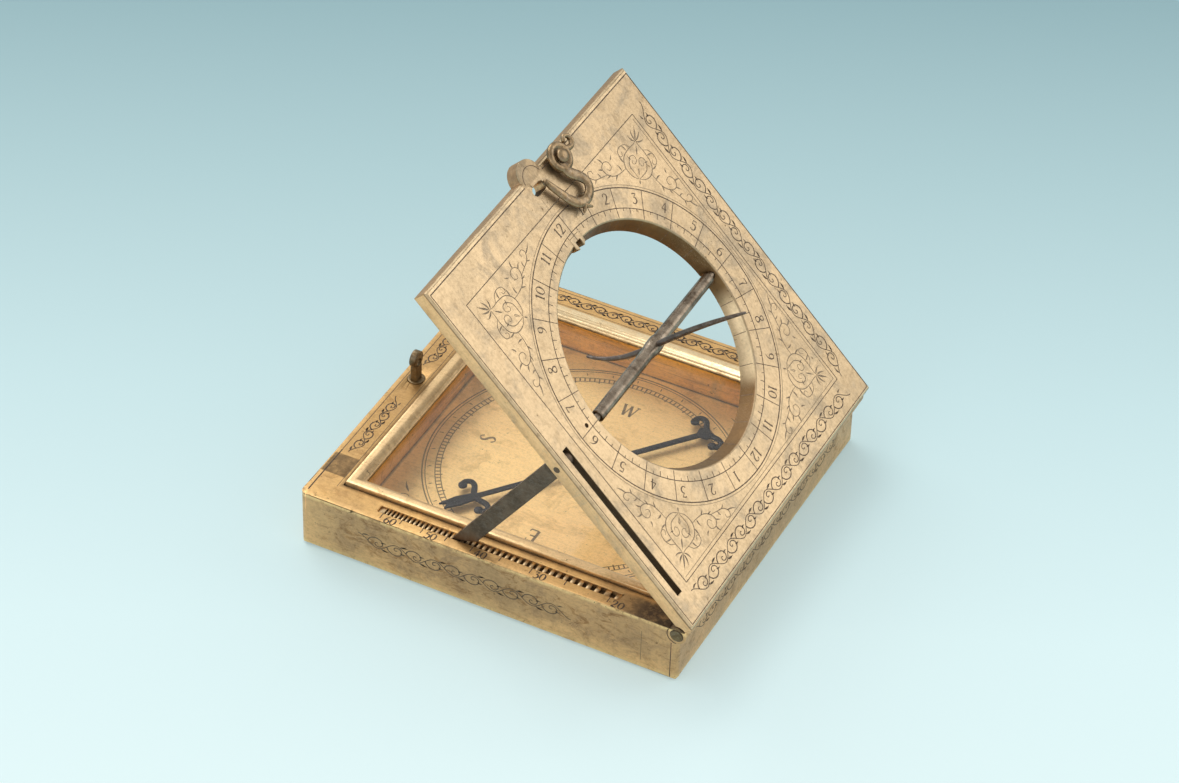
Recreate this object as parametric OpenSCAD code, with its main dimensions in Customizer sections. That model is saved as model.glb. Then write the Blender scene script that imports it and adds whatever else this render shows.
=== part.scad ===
// Pocket equinoctial sundial: a square compass box with a hinged hour plate held up by a prop.
// The origin is the centre of the box's underside. X runs from the catch to the hinge, Y away
// from the viewer and Z up. On the hour plate, "a" is the distance up from the hinge axis and
// "c" the height over it, square to the plate.

/* [Setting] */
// Latitude that the prop is set to, in degrees
latitude = 44.3; // [42:0.1:46]
// Direction of the compass needle, in degrees from X towards Y
needle_azimuth = 231; // [0:1:359]

/* [Case] */
// Length of the case along X
case_length = 60; // [57:0.5:70]
// Width of the case along Y
case_width = 58.8; // [57:0.2:66]
// Height of the case
case_height = 9.8; // [9:0.1:12]
// Radius of the case's upright corners
case_corner_r = 1.0; // [0.5:0.1:2]
// Chamfer along the case's bottom edges
case_chamfer = 0.6; // [0.2:0.1:1]
// Width of the frame between the bezel and the hinge or catch face
frame_end = 5.0; // [4.6:0.1:7]
// Width of the frame between the bezel and the front or back face
frame_side = 4.4; // [4.4:0.1:7]
// Distance of the compass well's wall inside the bezel's outer face
well_step = 0.8; // [0.6:0.1:1.2]
// Distance of the bottom recess's wall outside the bezel's outer face
recess_step = 1.0; // [0.6:0.1:1.4]
// Height of the compass plate's face over the table
well_floor = 3.0; // [2.6:0.1:4]
// Thickness of the base plate
base_thickness = 1.8; // [1.2:0.1:2.2]
// Radius of the base plate's rivets
base_rivet_r = 0.5; // [0.4:0.05:0.6]
// Depth that the rivets reach into the case over the compass plate
base_rivet_grip = 2.2; // [1.5:0.1:3]

/* [Bezel and glass] */
// Width of the bezel's moulding
bezel_width = 2.2; // [1.6:0.1:2.4]
// Height of the bezel over the case's top
bezel_rise = 0.8; // [0.4:0.05:0.8]
// Rounding of the bezel's edges
bezel_round = 0.35; // [0.2:0.05:0.45]
// Gap round the bezel in its rebate
bezel_gap = 0.15; // [0.1:0.05:0.3]
// Thickness of the glass
glass_thickness = 0.9; // [0.6:0.1:1.2]
// Depth of the glass's upper face below the case's top
glass_depth = 0.5; // [0.4:0.05:0.9]

/* [Needle] */
// Distance of the needle's pointed end from the well's wall
needle_clear = 2.0; // [1.5:0.1:5]
// Distance that the crest end is shorter than the pointed end
needle_shorter = 1.7; // [1.2:0.1:6]
// Reach of the curls to each side of the needle
curl_reach = 3.9; // [3:0.1:4.2]
// Height of the needle's underside over the compass plate
needle_lift = 0.8; // [0.8:0.1:1.6]
// Thickness of the needle
needle_thickness = 0.35; // [0.2:0.05:0.5]
// Width of the needle's bar beside its cap
needle_width = 0.9; // [0.7:0.05:1.2]
// Radius of the needle's cap
cap_r = 1.5; // [1.3:0.1:2]
// Radius of the upright pivot
pivot_r = 0.4; // [0.3:0.05:0.5]
// Clearance between the pivot and the cap's bore
pivot_fit = 0.06; // [0.03:0.01:0.09]

/* [Hinge] */
// Distance of the hinge axis inside the case's right face
hinge_inset = 0.25; // [0:0.05:0.6]
// Depth of the hinge axis below the case's top
hinge_drop = 1.0; // [0.8:0.05:1.3]
// Radius of the knuckles
knuckle_r = 1.45; // [1.3:0.05:1.45]
// Length of each end knuckle
knuckle_length = 4.5; // [3.5:0.1:6]
// Radius of the hinge pin
pin_r = 0.9; // [0.7:0.05:1]
// Radial running clearance on the hinge pin
pin_fit = 0.05; // [0.03:0.01:0.09]
// Gap between the plate's barrel and the end knuckles
knuckle_gap = 0.1; // [0.05:0.05:0.3]
// Clearance round a knuckle where another piece is hollowed for it
knuckle_clear = 0.3; // [0.25:0.05:0.4]

/* [Hour plate] */
// Distance that the plate stops short of the case's catch face
plate_short = 0; // [0:0.1:1]
// Distance that the catch edge stands beyond the square that the dial is centred in
plate_lip = 0.5; // [0.3:0.05:0.6]
// Distance that the plate's hinge edge lies behind the hinge axis
plate_overhang = 0.15; // [0.05:0.05:0.3]
// Thickness of the plate
plate_thickness = 2.27; // [2:0.05:2.6]
// Bevel along the plate's upper edges
plate_bevel = 0.35; // [0.2:0.05:0.5]
// Width of the plate's ring between the hole and the groove for the bezel
hole_wall = 4.3; // [3.9:0.1:5]
// Distance that the hole is narrower at the plate's underside
hole_taper = 0.9; // [0.6:0.05:1]
// Bevel round the hole's upper edge
hole_bevel = 0.25; // [0.1:0.05:0.4]
// Clearance over and beside the bezel when the plate lies shut
bezel_clear = 0.1; // [0.05:0.05:0.2]

/* [Gnomon] */
// Height of the bar's axis over the plate's underside
bar_height = 1.2; // [1.15:0.05:1.3]
// Radius of the gnomon's bar
bar_r = 1.0; // [0.8:0.05:1.05]
// Gap between the bar's shoulders and the narrow end of the hole
bar_gap = 0.2; // [0.15:0.05:0.5]
// Radius of the bar's journals
journal_r = 0.6; // [0.5:0.05:0.65]
// Radial running clearance of the journals
journal_fit = 0.05; // [0.03:0.01:0.08]
// Distance of the bores' ends from the groove for the bezel
journal_stop = 0.7; // [0.4:0.1:1.2]
// Radius of the groove that the keeper pin stands in
groove_r = 0.35; // [0.3:0.05:0.4]
// Radius of the keeper pin
keeper_r = 0.35; // [0.3:0.05:0.4]
// Radius of the gnomon's wire
wire_r = 0.35; // [0.3:0.05:0.45]
// Distance of the wire's upper tip from the hole's wall when it lies folded
wire_clear = 0.7; // [0.6:0.1:2]
// Depth of the wire's lower tip under the bar
wire_down = 11.7; // [10:0.1:14]
// Width of the notch that the wire's tip rests in when folded
rest_notch = 1.2; // [1.1:0.05:1.5]

/* [Prop and rack] */
// Distance of the prop's pivot from the bar's line, towards the hinge
prop_below = 0.35; // [0:0.05:1]
// Height of the prop's pivot over the plate's underside
prop_height = 0.92; // [0.85:0.01:1]
// Length of the prop over the pivot's height at the rack's lowest latitude
prop_spare = 0.15; // [0.1:0.01:0.3]
// Width of the prop
prop_width = 2.6; // [2.2:0.1:2.6]
// Thickness of the prop
prop_thickness = 0.95; // [0.8:0.05:1]
// Distance of the prop's middle plane from the plate's front edge
prop_inset = 2.35; // [2.2:0.05:2.5]
// Radius of the prop's pivot pin
prop_pin_r = 0.5; // [0.4:0.05:0.55]
// Radial running clearance on the prop's pin
prop_fit = 0.05; // [0.03:0.01:0.09]
// Clearance of the slot on each side of the prop
slot_clear = 0.1; // [0.08:0.01:0.15]
// Width of the toothed rack
rack_width = 1.3; // [1.2:0.1:1.4]
// Depth of the rack's teeth below the case's top
rack_drop = 0.3; // [0.2:0.05:0.4]
// Depth of the notches between the teeth
notch_depth = 0.5; // [0.3:0.05:0.6]
// Width of a notch, as a share of the distance to the next one
notch_share = 0.5; // [0.4:0.05:0.6]
// Height of the rack strip
rack_height = 1.5; // [1.2:0.1:2]
// Lowest latitude on the rack
rack_low = 20; // [20:1:25]
// Highest latitude on the rack
rack_high = 60; // [55:1:61]
// Height of the prop's tip over the teeth
tip_gap = 0.05; // [0.03:0.01:0.1]

/* [Catch] */
// Distance of the staple from the case's left face
staple_inset = 2.4; // [2.2:0.1:2.6]
// Offset of the staple and its hole along Y
staple_y = 0.3; // [-0.5:0.1:1]
// Thickness of the staple over its eye
staple_wall = 1.2; // [0.8:0.1:1.5]
// Width of the staple's head
staple_width = 2.6; // [2.2:0.1:2.6]
// Thickness of the staple
staple_thickness = 1.0; // [0.8:0.05:1.1]
// Radius of the staple's eye
eye_r = 0.65; // [0.55:0.01:0.7]
// Radius of the tab on the plate's catch edge
tab_r = 2.45; // [2.3:0.05:2.8]
// Distance of the hook's rivet from the plate's catch edge
rivet_inset = 1.4; // [1.3:0.1:2]
// Distance of the hook's rivet from the staple along Y
rivet_side = 6.2; // [5.8:0.1:6.6]
// Reach of the hook's bend from its rivet
hook_reach = 7.0; // [6.6:0.1:7.4]
// Thickness of the hook
hook_thickness = 0.85; // [0.7:0.05:0.95]
// Radius of the hook rivet's shank
rivet_r = 0.55; // [0.45:0.05:0.6]
// Radius of the hook rivet's head
rivet_head_r = 1.05; // [0.9:0.05:1.2]
// Thickness of the washer under the hook
washer_thickness = 0.5; // [0.4:0.05:0.6]
// Radial running clearance on the hook's rivet
rivet_fit = 0.05; // [0.03:0.01:0.09]

/* [Hidden] */
$fn = 64;

gilt = [0.82, 0.66, 0.42];
old_brass = [0.66, 0.52, 0.34];
steel = [0.46, 0.44, 0.42];
blued = [0.16, 0.18, 0.21];

// A cut runs this far past the faces it opens
over = 1;
// Flat faces of one body that move past each other stay this far apart
slip = 0.05;
// The wire is this much thicker at its bends
joint_swell = 1.06;

both = [1, 1];
plate_open = 90 - latitude;
hinge_x = case_length / 2 - hinge_inset;
hinge_z = case_height - hinge_drop;
plate_c = hinge_drop;
top_c = plate_c + plate_thickness;
plate_end = case_length - hinge_inset - plate_short;
dial_a = (plate_end - plate_lip - plate_overhang) / 2;
bar_c = plate_c + bar_height;
prop_a = dial_a - prop_below;
prop_c = plate_c + prop_height;

bezel_size = [case_length - 2 * frame_end, case_width - 2 * frame_side];
well_size = bezel_size - 2 * well_step * both;
recess_size = bezel_size + 2 * recess_step * both;
// The plates and the glass lie in their places with this much less on each side
lay = 0.05;
base_rivet_at = (well_size + recess_size) / 4;
glass_top = case_height - glass_depth;
bezel_top = case_height + bezel_rise;

needle_z = well_floor + needle_lift;
needle_reach = min(well_size.x, well_size.y) / 2 - needle_clear;
needle_crest = needle_reach - needle_shorter;
cap_bore = 0.4;

barrel_y = case_width / 2 - knuckle_length - knuckle_gap;
slot_width = prop_thickness + 2 * slot_clear;
rack_top = case_height - rack_drop;
tip_z = rack_top + tip_gap;

staple_x = staple_inset - case_length / 2;
staple_a = hinge_x - staple_x;
staple_foot_r = 0.8;
staple_neck = staple_width * 0.62;
collar_r = staple_foot_r + 0.5;
collar_depth = 0.4;
rivet_a = plate_end - rivet_inset;
rivet_y = staple_y + rivet_side;
washer_r = rivet_head_r - 0.1;
hook_c = top_c + washer_thickness + slip;
head_c = hook_c + hook_thickness + slip;
head_height = 0.6;
// Height of the hook's middle over the table when the plate lies shut
hook_shut_z = hinge_z + hook_c + hook_thickness / 2;
staple_head_z = hook_shut_z + eye_r + staple_wall - staple_width / 2;

// The prop's foot is cut back in two slopes from its tip
foot_cut = prop_width * 0.5;
heel_cut = prop_width * 0.75;

prop_y = prop_inset - case_width / 2;
prop_pin_end = prop_y + 2.4;

groove_inner = bezel_size - 2 * (bezel_width + bezel_clear) * both;
hole_r = min(groove_inner.x, groove_inner.y) / 2 - hole_wall;
journal_end = groove_inner.y / 2 - journal_stop;
groove_y = journal_end - 1;
groove_half = keeper_r + 0.1;
cap_thickness = bar_height - journal_r - journal_fit - 0.1;
rest_depth = plate_thickness - 0.7;
rest_width = rest_notch + 1.4;
rest_seat = 1.2;
wire_up = hole_r - wire_clear;

// Point of the hour plate's middle section, in X and Z, at a and c when the plate is open by t
function plate_point(a, c, t) =
    [hinge_x - a * cos(t) + c * sin(t), hinge_z + a * sin(t) + c * cos(t)];

prop_reach = plate_point(prop_a, prop_c, 90 - rack_low).y - tip_z + prop_spare;
tip_length = sqrt(prop_reach ^ 2 - (prop_width / 2) ^ 2);
tip_turn = asin(prop_width / 2 / prop_reach);

// Where the prop's tip meets the rack with the plate set to a latitude
function tip_x(lat) =
    let (p = plate_point(prop_a, prop_c, 90 - lat))
    p.x - sqrt(prop_reach ^ 2 - (p.y - tip_z) ^ 2);

prop_at = plate_point(prop_a, prop_c, plate_open);
prop_lean = asin((prop_at.y - tip_z) / prop_reach) + tip_turn;

// Point on a smooth curve through four points, between the second and the third
function spline(p, u) = 0.5 * (2 * p[1] + (p[2] - p[0]) * u
    + (2 * p[0] - 5 * p[1] + 4 * p[2] - p[3]) * u ^ 2
    + (3 * p[1] - p[0] - 3 * p[2] + p[3]) * u ^ 3);

// The curve through every point of a list, in steps; each point holds x, y and a width
function curve(pts, steps) =
    let (n = len(pts))
    concat([for (i = [0 : n - 2]) each
        let (p = [pts[max(i - 1, 0)], pts[i], pts[i + 1], pts[min(i + 2, n - 1)]])
        [for (k = [0 : steps - 1]) spline(p, k / steps)]], [pts[n - 1]]);

// The side of a strip along a curve: s is 1 for the left side and -1 for the right
function side(c, s) = [for (i = [0 : len(c) - 1])
    let (d = c[min(i + 1, len(c) - 1)] - c[max(i - 1, 0)], m = norm([d.x, d.y]))
    [c[i].x - s * d.y / m * c[i].z / 2, c[i].y + s * d.x / m * c[i].z / 2]];

function reversed(l) = [for (i = [len(l) - 1 : -1 : 0]) l[i]];

function times(pts, k) = [for (p = pts) p * k];

// A flat strip that follows points of x, y and width
module strip(pts, steps = 5) {
    c = curve(pts, steps);
    polygon(concat(side(c, -1), reversed(side(c, 1))));
}

// A shape drawn in X and Z, extruded from y0 to y1
module along_y(y0, y1) {
    translate([0, y1, 0]) rotate([90, 0, 0]) linear_extrude(y1 - y0) children();
}

// A shape drawn in Y and Z, extruded from x0 to x1
module along_x(x0, x1) {
    translate([x0, 0, 0]) rotate([90, 0, 90]) linear_extrude(x1 - x0) children();
}

// A round rod along Y
module rod_y(r, y0, y1) {
    along_y(y0, y1) circle(r);
}

// The hour plate's own frame: X is minus a, Z is c
module on_plate() {
    translate([hinge_x, 0, hinge_z]) rotate([0, plate_open, 0]) children();
}

module box(size, z0, z1) {
    translate([-size.x / 2, -size.y / 2, z0]) cube([size.x, size.y, z1 - z0]);
}

// A rectangle with round corners
module rounded(size, r) {
    square([size.x - 2 * r, size.y], center = true);
    square([size.x, size.y - 2 * r], center = true);
    for (x = [-1, 1], y = [-1, 1])
        translate([x * (size.x / 2 - r), y * (size.y / 2 - r)]) circle(r, $fn = 32);
}

// Outline of a block's section with its lower corners cut off
function chamfered(w, h, c) =
    [[-w / 2 + c, 0], [w / 2 - c, 0], [w / 2, c], [w / 2, h], [-w / 2, h], [-w / 2, c]];

module case_outline() {
    intersection() {
        linear_extrude(case_height) rounded([case_length, case_width], case_corner_r);
        along_y(-case_width / 2 - over, case_width / 2 + over)
            polygon(chamfered(case_length, case_height, case_chamfer));
        along_x(-case_length / 2 - over, case_length / 2 + over)
            polygon(chamfered(case_width, case_height, case_chamfer));
    }
}

module at_base_rivets() {
    for (x = [-1, 1], y = [-1, 1]) translate([x * base_rivet_at.x, y * base_rivet_at.y]) children();
}

module at_hinge() {
    translate([hinge_x, 0, hinge_z]) children();
}

// Channel in the case's top for the rack, and the room that the prop's tip needs over it
module rack_channel() {
    x0 = tip_x(rack_high) - 1;
    x1 = tip_x(rack_low) + 1.2;
    translate([x0, prop_y - rack_width / 2, rack_top - rack_height])
        cube([x1 - x0, rack_width, rack_height + rack_drop + over]);
}

module case_box() {
    color(gilt) difference() {
        case_outline();
        box(well_size, -over, case_height + over);
        box(recess_size, -over, well_floor);
        box(bezel_size + 2 * bezel_gap * both, glass_top - glass_thickness, case_height + over);
        rack_channel();
        at_base_rivets() cylinder(r = base_rivet_r, h = well_floor + base_rivet_grip);
        at_hinge() {
            rod_y(knuckle_r + knuckle_clear, -barrel_y - knuckle_gap, barrel_y + knuckle_gap);
            for (s = [-1, 1]) scale_y(s) rod_y(knuckle_r, barrel_y, case_width / 2 + over);
        }
        translate([staple_x, staple_y, well_floor])
            cylinder(r = staple_foot_r, h = case_height);
        translate([staple_x, staple_y, case_height - collar_depth])
            cylinder(r = collar_r, h = case_height);
    }
}

// A mirror image across the middle plane when s is -1
module scale_y(s) {
    if (s < 0) mirror([0, 1, 0]) children();
    else children();
}

module base_plate() {
    color(old_brass) difference() {
        box(recess_size - 2 * lay * both, 0, base_thickness);
        at_base_rivets() translate([0, 0, -over])
            cylinder(r = base_rivet_r, h = base_thickness + 2 * over);
    }
}

module base_rivets() {
    color(gilt) at_base_rivets() cylinder(r = base_rivet_r, h = well_floor + base_rivet_grip);
}

module compass_plate() {
    color(gilt) difference() {
        box(recess_size - 2 * lay * both, base_thickness, well_floor);
        at_base_rivets() cylinder(r = base_rivet_r, h = well_floor + over);
        cylinder(r = pivot_r, h = well_floor + over);
    }
}

module glass_pane() {
    color([0.85, 0.92, 0.93, 0.35]) box(bezel_size - 2 * lay * both, glass_top - glass_thickness, glass_top);
}

// Section of the bezel's moulding: x is the distance from its outer face
function bezel_section() = concat(
    [[0, glass_top], [bezel_width, glass_top], [bezel_width, glass_top + bezel_rise * 0.4],
        [bezel_width * 0.88, glass_top + bezel_rise * 0.5], [bezel_width * 0.66, bezel_top - bezel_rise * 0.3],
        [bezel_width * 0.55, bezel_top]],
    [for (k = [0 : 6]) let (t = 90 + 15 * k)
        [bezel_round * (1 + cos(t)), bezel_top + bezel_round * (sin(t) - 1)]]);

// One side of the bezel, mitred at both ends: out from the centre, half as long as wide
module bezel_side(out, half) {
    m = bezel_width;
    intersection() {
        along_y(-half, half) translate([-out, 0]) polygon(bezel_section());
        linear_extrude(bezel_top + over)
            polygon([[-out, -half], [m - out, m - half], [m - out, half - m], [-out, half]]);
    }
}

module bezel() {
    half = bezel_size / 2;
    color(gilt) for (turn = [0, 180]) rotate(turn) {
        bezel_side(half.x, half.y);
        rotate(90) bezel_side(half.y, half.x);
    }
}

module needle_pivot() {
    color(gilt) {
        translate([0, 0, base_thickness]) cylinder(r = pivot_r, h = needle_z + cap_bore - slip - base_thickness);
        translate([0, 0, well_floor]) cylinder(r = pivot_r + 0.5, h = 0.3);
    }
}

// Half of a crest or a cross, in the needle's own frame: x towards the pointed end
module needle_curl(x) {
    k = curl_reach / 3.9;
    translate([x, 0]) {
        strip(times([[0, -0.3, 0.95], [-0.5, 1.0, 0.9], [-1.05, 2.1, 0.85], [-1.0, 3.1, 0.8],
            [-0.2, 3.5, 0.8], [0.45, 3.1, 0.8]], k), 4);
        translate([0.45 * k, 2.95 * k]) circle(0.66 * k, $fn = 24);
    }
}

module needle_outline() {
    k = curl_reach / 3.9;
    cross = needle_reach - 5.2 * k;
    crest = needle_crest - 0.6 * k;
    w = needle_width / 2;
    polygon([[-crest, -w], [cross + 0.5 * k, -w * 0.9], [cross + 0.5 * k, w * 0.9], [-crest, w]]);
    polygon([[cross - 1.2 * k, 0], [cross + 0.2 * k, -w * 1.6], [cross + 2.4 * k, -w * 2.1],
        [needle_reach, -w * 1.1], [needle_reach - 1.1 * k, -w * 0.1], [needle_reach - 0.3 * k, w * 1.6],
        [cross + 2.4 * k, w * 2.1], [cross + 0.2 * k, w * 1.6]]);
    translate([-crest, 0]) polygon(times([[1.8, 0], [0.4, 1.3], [-0.9, 0.8], [-0.6, 0],
        [-0.9, -0.8], [0.4, -1.3]], k));
    for (s = [-1, 1]) scale_y(s) {
        needle_curl(cross);
        needle_curl(-crest);
    }
}

module needle() {
    color(blued) translate([0, 0, needle_z]) rotate(needle_azimuth) difference() {
        linear_extrude(needle_thickness) union() {
            needle_outline();
            circle(cap_r + 0.35);
        }
        translate([0, 0, -over]) cylinder(r = cap_r - 0.3, h = 2 * over);
    }
}

module needle_cap() {
    color(gilt) translate([0, 0, needle_z]) difference() {
        union() {
            cylinder(r = cap_r - 0.3, h = needle_thickness);
            translate([0, 0, needle_thickness]) cylinder(r = cap_r, h = 0.4);
            translate([0, 0, needle_thickness + 0.4]) cylinder(r = cap_r * 0.6, h = 0.5);
        }
        translate([0, 0, -over]) cylinder(r = pivot_r + pivot_fit, h = over + cap_bore);
    }
}

module latitude_rack() {
    x0 = tip_x(rack_high) - 1;
    x1 = tip_x(rack_low) + 1.2;
    y0 = prop_y - rack_width / 2;
    color(gilt) difference() {
        translate([x0, y0, rack_top - rack_height]) cube([x1 - x0, rack_width, rack_height]);
        for (lat = [rack_high : -1 : rack_low]) {
            pitch = lat > rack_low ? tip_x(lat - 1) - tip_x(lat) : tip_x(lat) - tip_x(lat + 1);
            translate([tip_x(lat) - pitch * notch_share / 2, y0 - over, rack_top - notch_depth])
                cube([pitch * notch_share, rack_width + 2 * over, notch_depth + over]);
        }
    }
}

module catch_staple() {
    color(old_brass) translate([staple_x, staple_y, 0]) {
        difference() {
            union() {
                along_x(-staple_thickness / 2, staple_thickness / 2) {
                    translate([0, staple_head_z]) circle(staple_width / 2);
                    translate([-staple_neck / 2, case_height - collar_depth])
                        square([staple_neck, staple_head_z - case_height]);
                }
                translate([0, 0, well_floor]) cylinder(r = staple_foot_r, h = case_height - well_floor);
            }
            along_x(-over, over) translate([0, hook_shut_z]) circle(eye_r);
        }
    }
}

module staple_collar() {
    color(old_brass) translate([staple_x, staple_y, case_height - collar_depth]) difference() {
        cylinder(r = collar_r, h = collar_depth + 0.15);
        translate([0, 0, -over]) cylinder(r = staple_foot_r, h = collar_depth + over);
        translate([0, 0, collar_depth]) cube([staple_thickness, staple_neck, 2], center = true);
    }
}

// An end knuckle, held in the case and bored for the pin
module knuckle() {
    color(gilt) at_hinge() difference() {
        rod_y(knuckle_r, case_width / 2 - knuckle_length, case_width / 2);
        rod_y(pin_r, 0, case_width);
    }
}

module hinge_knuckle_front() {
    mirror([0, 1, 0]) knuckle();
}

module hinge_knuckle_rear() {
    knuckle();
}

module hinge_pin() {
    color(old_brass) at_hinge() rod_y(pin_r, -case_width / 2 - 0.1, case_width / 2 + 0.1);
}

// Outline of the plate's section with bevelled upper corners, from x0 to x1
function bevelled(x0, x1, z0, z1, b) =
    [[x0, z0], [x1, z0], [x1, z1 - b], [x1 - b, z1], [x0 + b, z1], [x0, z1 - b]];

module plate_blank() {
    half = case_width / 2;
    intersection() {
        along_y(-half, half)
            polygon(bevelled(-plate_end, plate_overhang, plate_c, top_c, plate_bevel));
        along_x(-plate_end - over, plate_overhang + over)
            polygon(bevelled(-half, half, plate_c, top_c, plate_bevel));
    }
    translate([plate_lip / 2 - plate_end, staple_y + 0.3, plate_c])
        cylinder(r = tab_r, h = plate_thickness);
}

// Slot for the prop, with a ramp under its hinge end that clears the prop's cut foot
module prop_slot() {
    tip_a = prop_a - tip_length;
    low = prop_c - prop_width / 2;
    high = prop_c + prop_width / 2;
    head = prop_a + prop_width / 2 + 0.15;
    y0 = prop_y - slot_width / 2;
    along_y(y0, y0 + slot_width) polygon([[-head, top_c + over], [-head, -over],
        [-tip_a + 0.6, -over], [-tip_a + 0.6, low - 0.2], [-tip_a - foot_cut + 0.35, prop_c],
        [-tip_a - foot_cut - heel_cut + 0.35, high], [-tip_a - foot_cut - heel_cut + 0.35, top_c + over]]);
}

// Groove round the plate's underside that takes the bezel when the plate lies shut
module bezel_groove() {
    translate([-hinge_x, 0, 0]) difference() {
        box(bezel_size + 2 * bezel_clear * both, -over, plate_c + bezel_rise + bezel_clear);
        box(groove_inner, -2 * over, top_c);
    }
}

// Bores for the gnomon's journals, open to the underside where the bar is put in
module journal_bores() {
    r = journal_r + journal_fit;
    translate([-dial_a, 0, bar_c]) rod_y(r, -journal_end, journal_end);
    translate([-dial_a, 0, 0]) box([2 * r, 2 * journal_end], -over, bar_c);
}

module hour_plate() {
    half = case_width / 2;
    slope = hole_taper / (plate_thickness - hole_bevel);
    color(gilt) on_plate() difference() {
        plate_blank();
        translate([-dial_a, 0, 0]) rotate_extrude() polygon([[0, 0],
            [hole_r - hole_taper - slope * plate_c, 0], [hole_r, top_c - hole_bevel],
            [hole_r + hole_bevel + over, top_c + over], [0, top_c + over]]);
        journal_bores();
        bezel_groove();
        prop_slot();
        for (s = [-1, 1]) scale_y(s) rod_y(knuckle_r + knuckle_clear, barrel_y, half + over);
        rod_y(knuckle_r, -barrel_y - over, barrel_y + over);
        translate([-prop_a, 0, prop_c]) rod_y(prop_pin_r, -half - over, prop_pin_end);
        translate([-staple_a, staple_y, 0]) tab_hole();
        translate([-rivet_a, rivet_y, 0]) cylinder(r = rivet_r, h = top_c + over);
        at_keeper() cylinder(r = keeper_r, h = top_c + over);
        at_rest() translate([-rest_seat, -rest_width / 2, 0])
            cube([rest_seat + hole_taper, rest_width, rest_depth + over]);
    }
}

// Round-ended hole for the staple
module tab_hole() {
    w = staple_thickness + 0.5;
    l = staple_width + 0.5;
    linear_extrude(top_c + over) {
        square([w, l - w], center = true);
        for (s = [-1, 1]) translate([0, s * (l - w) / 2]) circle(w / 2);
    }
}

module at_keeper() {
    translate([-dial_a - groove_r - keeper_r - slip, -groove_y, plate_c + cap_thickness + slip]) children();
}

// Foot of the fork that the wire rests in, at the top of the hole
module at_rest() {
    translate([-dial_a - hole_r, 0, top_c - rest_depth]) children();
}

module plate_barrel() {
    color(gilt) on_plate() difference() {
        rod_y(knuckle_r, -barrel_y, barrel_y);
        rod_y(pin_r + pin_fit, -barrel_y - over, barrel_y + over);
    }
}

module gnomon_rest() {
    prong = 0.9;
    wide = rest_seat + hole_taper / 2;
    color(gilt) on_plate() at_rest() difference() {
        translate([-rest_seat, 0, 0]) linear_extrude(rest_depth)
            polygon([[0, -rest_width / 2], [wide, -rest_width / 2], [rest_seat + prong, -rest_notch / 2],
                [rest_seat + prong, rest_notch / 2], [wide, rest_width / 2], [0, rest_width / 2]]);
        translate([-0.3, -rest_notch / 2, -over]) cube([2 * prong, rest_notch, rest_depth + 2 * over]);
    }
}

module journal_caps() {
    r = journal_r + journal_fit;
    start = hole_r - hole_taper + 0.3;
    color(gilt) on_plate() for (s = [-1, 1]) scale_y(s)
        translate([-dial_a - r, start, plate_c]) cube([2 * r, journal_end - start, cap_thickness]);
}

module keeper_pin() {
    color(steel) on_plate() at_keeper()
        cylinder(r = keeper_r, h = plate_thickness - cap_thickness - slip - 0.25);
}

module prop_pin() {
    color(steel) on_plate() translate([-prop_a, 0, prop_c])
        rod_y(prop_pin_r, -case_width / 2, prop_pin_end);
}

module hook_washer() {
    color(old_brass) on_plate() translate([-rivet_a, rivet_y, top_c]) difference() {
        cylinder(r = washer_r, h = washer_thickness);
        translate([0, 0, -over]) cylinder(r = rivet_r, h = washer_thickness + 2 * over);
    }
}

module hook_rivet() {
    color(old_brass) on_plate() translate([-rivet_a, rivet_y, 0]) {
        translate([0, 0, plate_c]) cylinder(r = rivet_r, h = head_c - plate_c);
        translate([0, 0, head_c]) cylinder(r = rivet_head_r, h = head_height);
    }
}

module gnomon_bar() {
    shoulder = hole_r - hole_taper - bar_gap;
    tip = journal_end - 0.2;
    color(steel) on_plate() translate([-dial_a, 0, bar_c]) difference() {
        union() {
            rod_y(bar_r, -shoulder, shoulder);
            sphere(bar_r * 1.25);
            rod_y(journal_r, shoulder, tip);
            rod_y(journal_r, -tip, -groove_y - groove_half);
            rod_y(groove_r, -groove_y - groove_half, -groove_y + groove_half);
            rod_y(journal_r, -groove_y + groove_half, -shoulder);
        }
        wire_core();
    }
}

// Middle stretch of the wire, straight through the bar
module wire_core() {
    translate([0, 0, -bar_r * 1.6]) cylinder(r = wire_r, h = bar_r * 3.2);
}

// A straight stretch of wire between two points in X and Z, with a round end
module stretch(p, q) {
    d = q - p;
    translate([p.x, 0, p.y]) {
        rotate([0, atan2(d.x, d.y), 0]) cylinder(r = wire_r, h = norm(d));
        sphere(wire_r * joint_swell, $fn = 32);
    }
}

module gnomon_wire() {
    up = concat([[0, bar_r * 1.6]], times([[0.006, 0.3], [0.03, 0.62], [0.076, 1]], wire_up));
    down = concat([[0, -bar_r * 1.6]], times([[-0.026, -0.4], [-0.11, -0.72], [-0.25, -1]], wire_down));
    color(blued) on_plate() translate([-dial_a, 0, bar_c]) {
        wire_core();
        for (path = [up, down], i = [0 : len(path) - 2]) stretch(path[i], path[i + 1]);
    }
}

module prop_arm() {
    w = prop_width / 2;
    head_r = w - 0.1;
    color(blued) along_y(prop_y - prop_thickness / 2, prop_y + prop_thickness / 2)
        translate(prop_at) rotate(180 + prop_lean) difference() {
            union() {
                circle(head_r);
                polygon([[0, -head_r], [3, -w], [tip_length, -w], [tip_length - foot_cut, 0],
                    [tip_length - foot_cut - heel_cut, w], [3, w], [0, head_r]]);
            }
            circle(prop_pin_r + prop_fit);
        }
}

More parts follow.
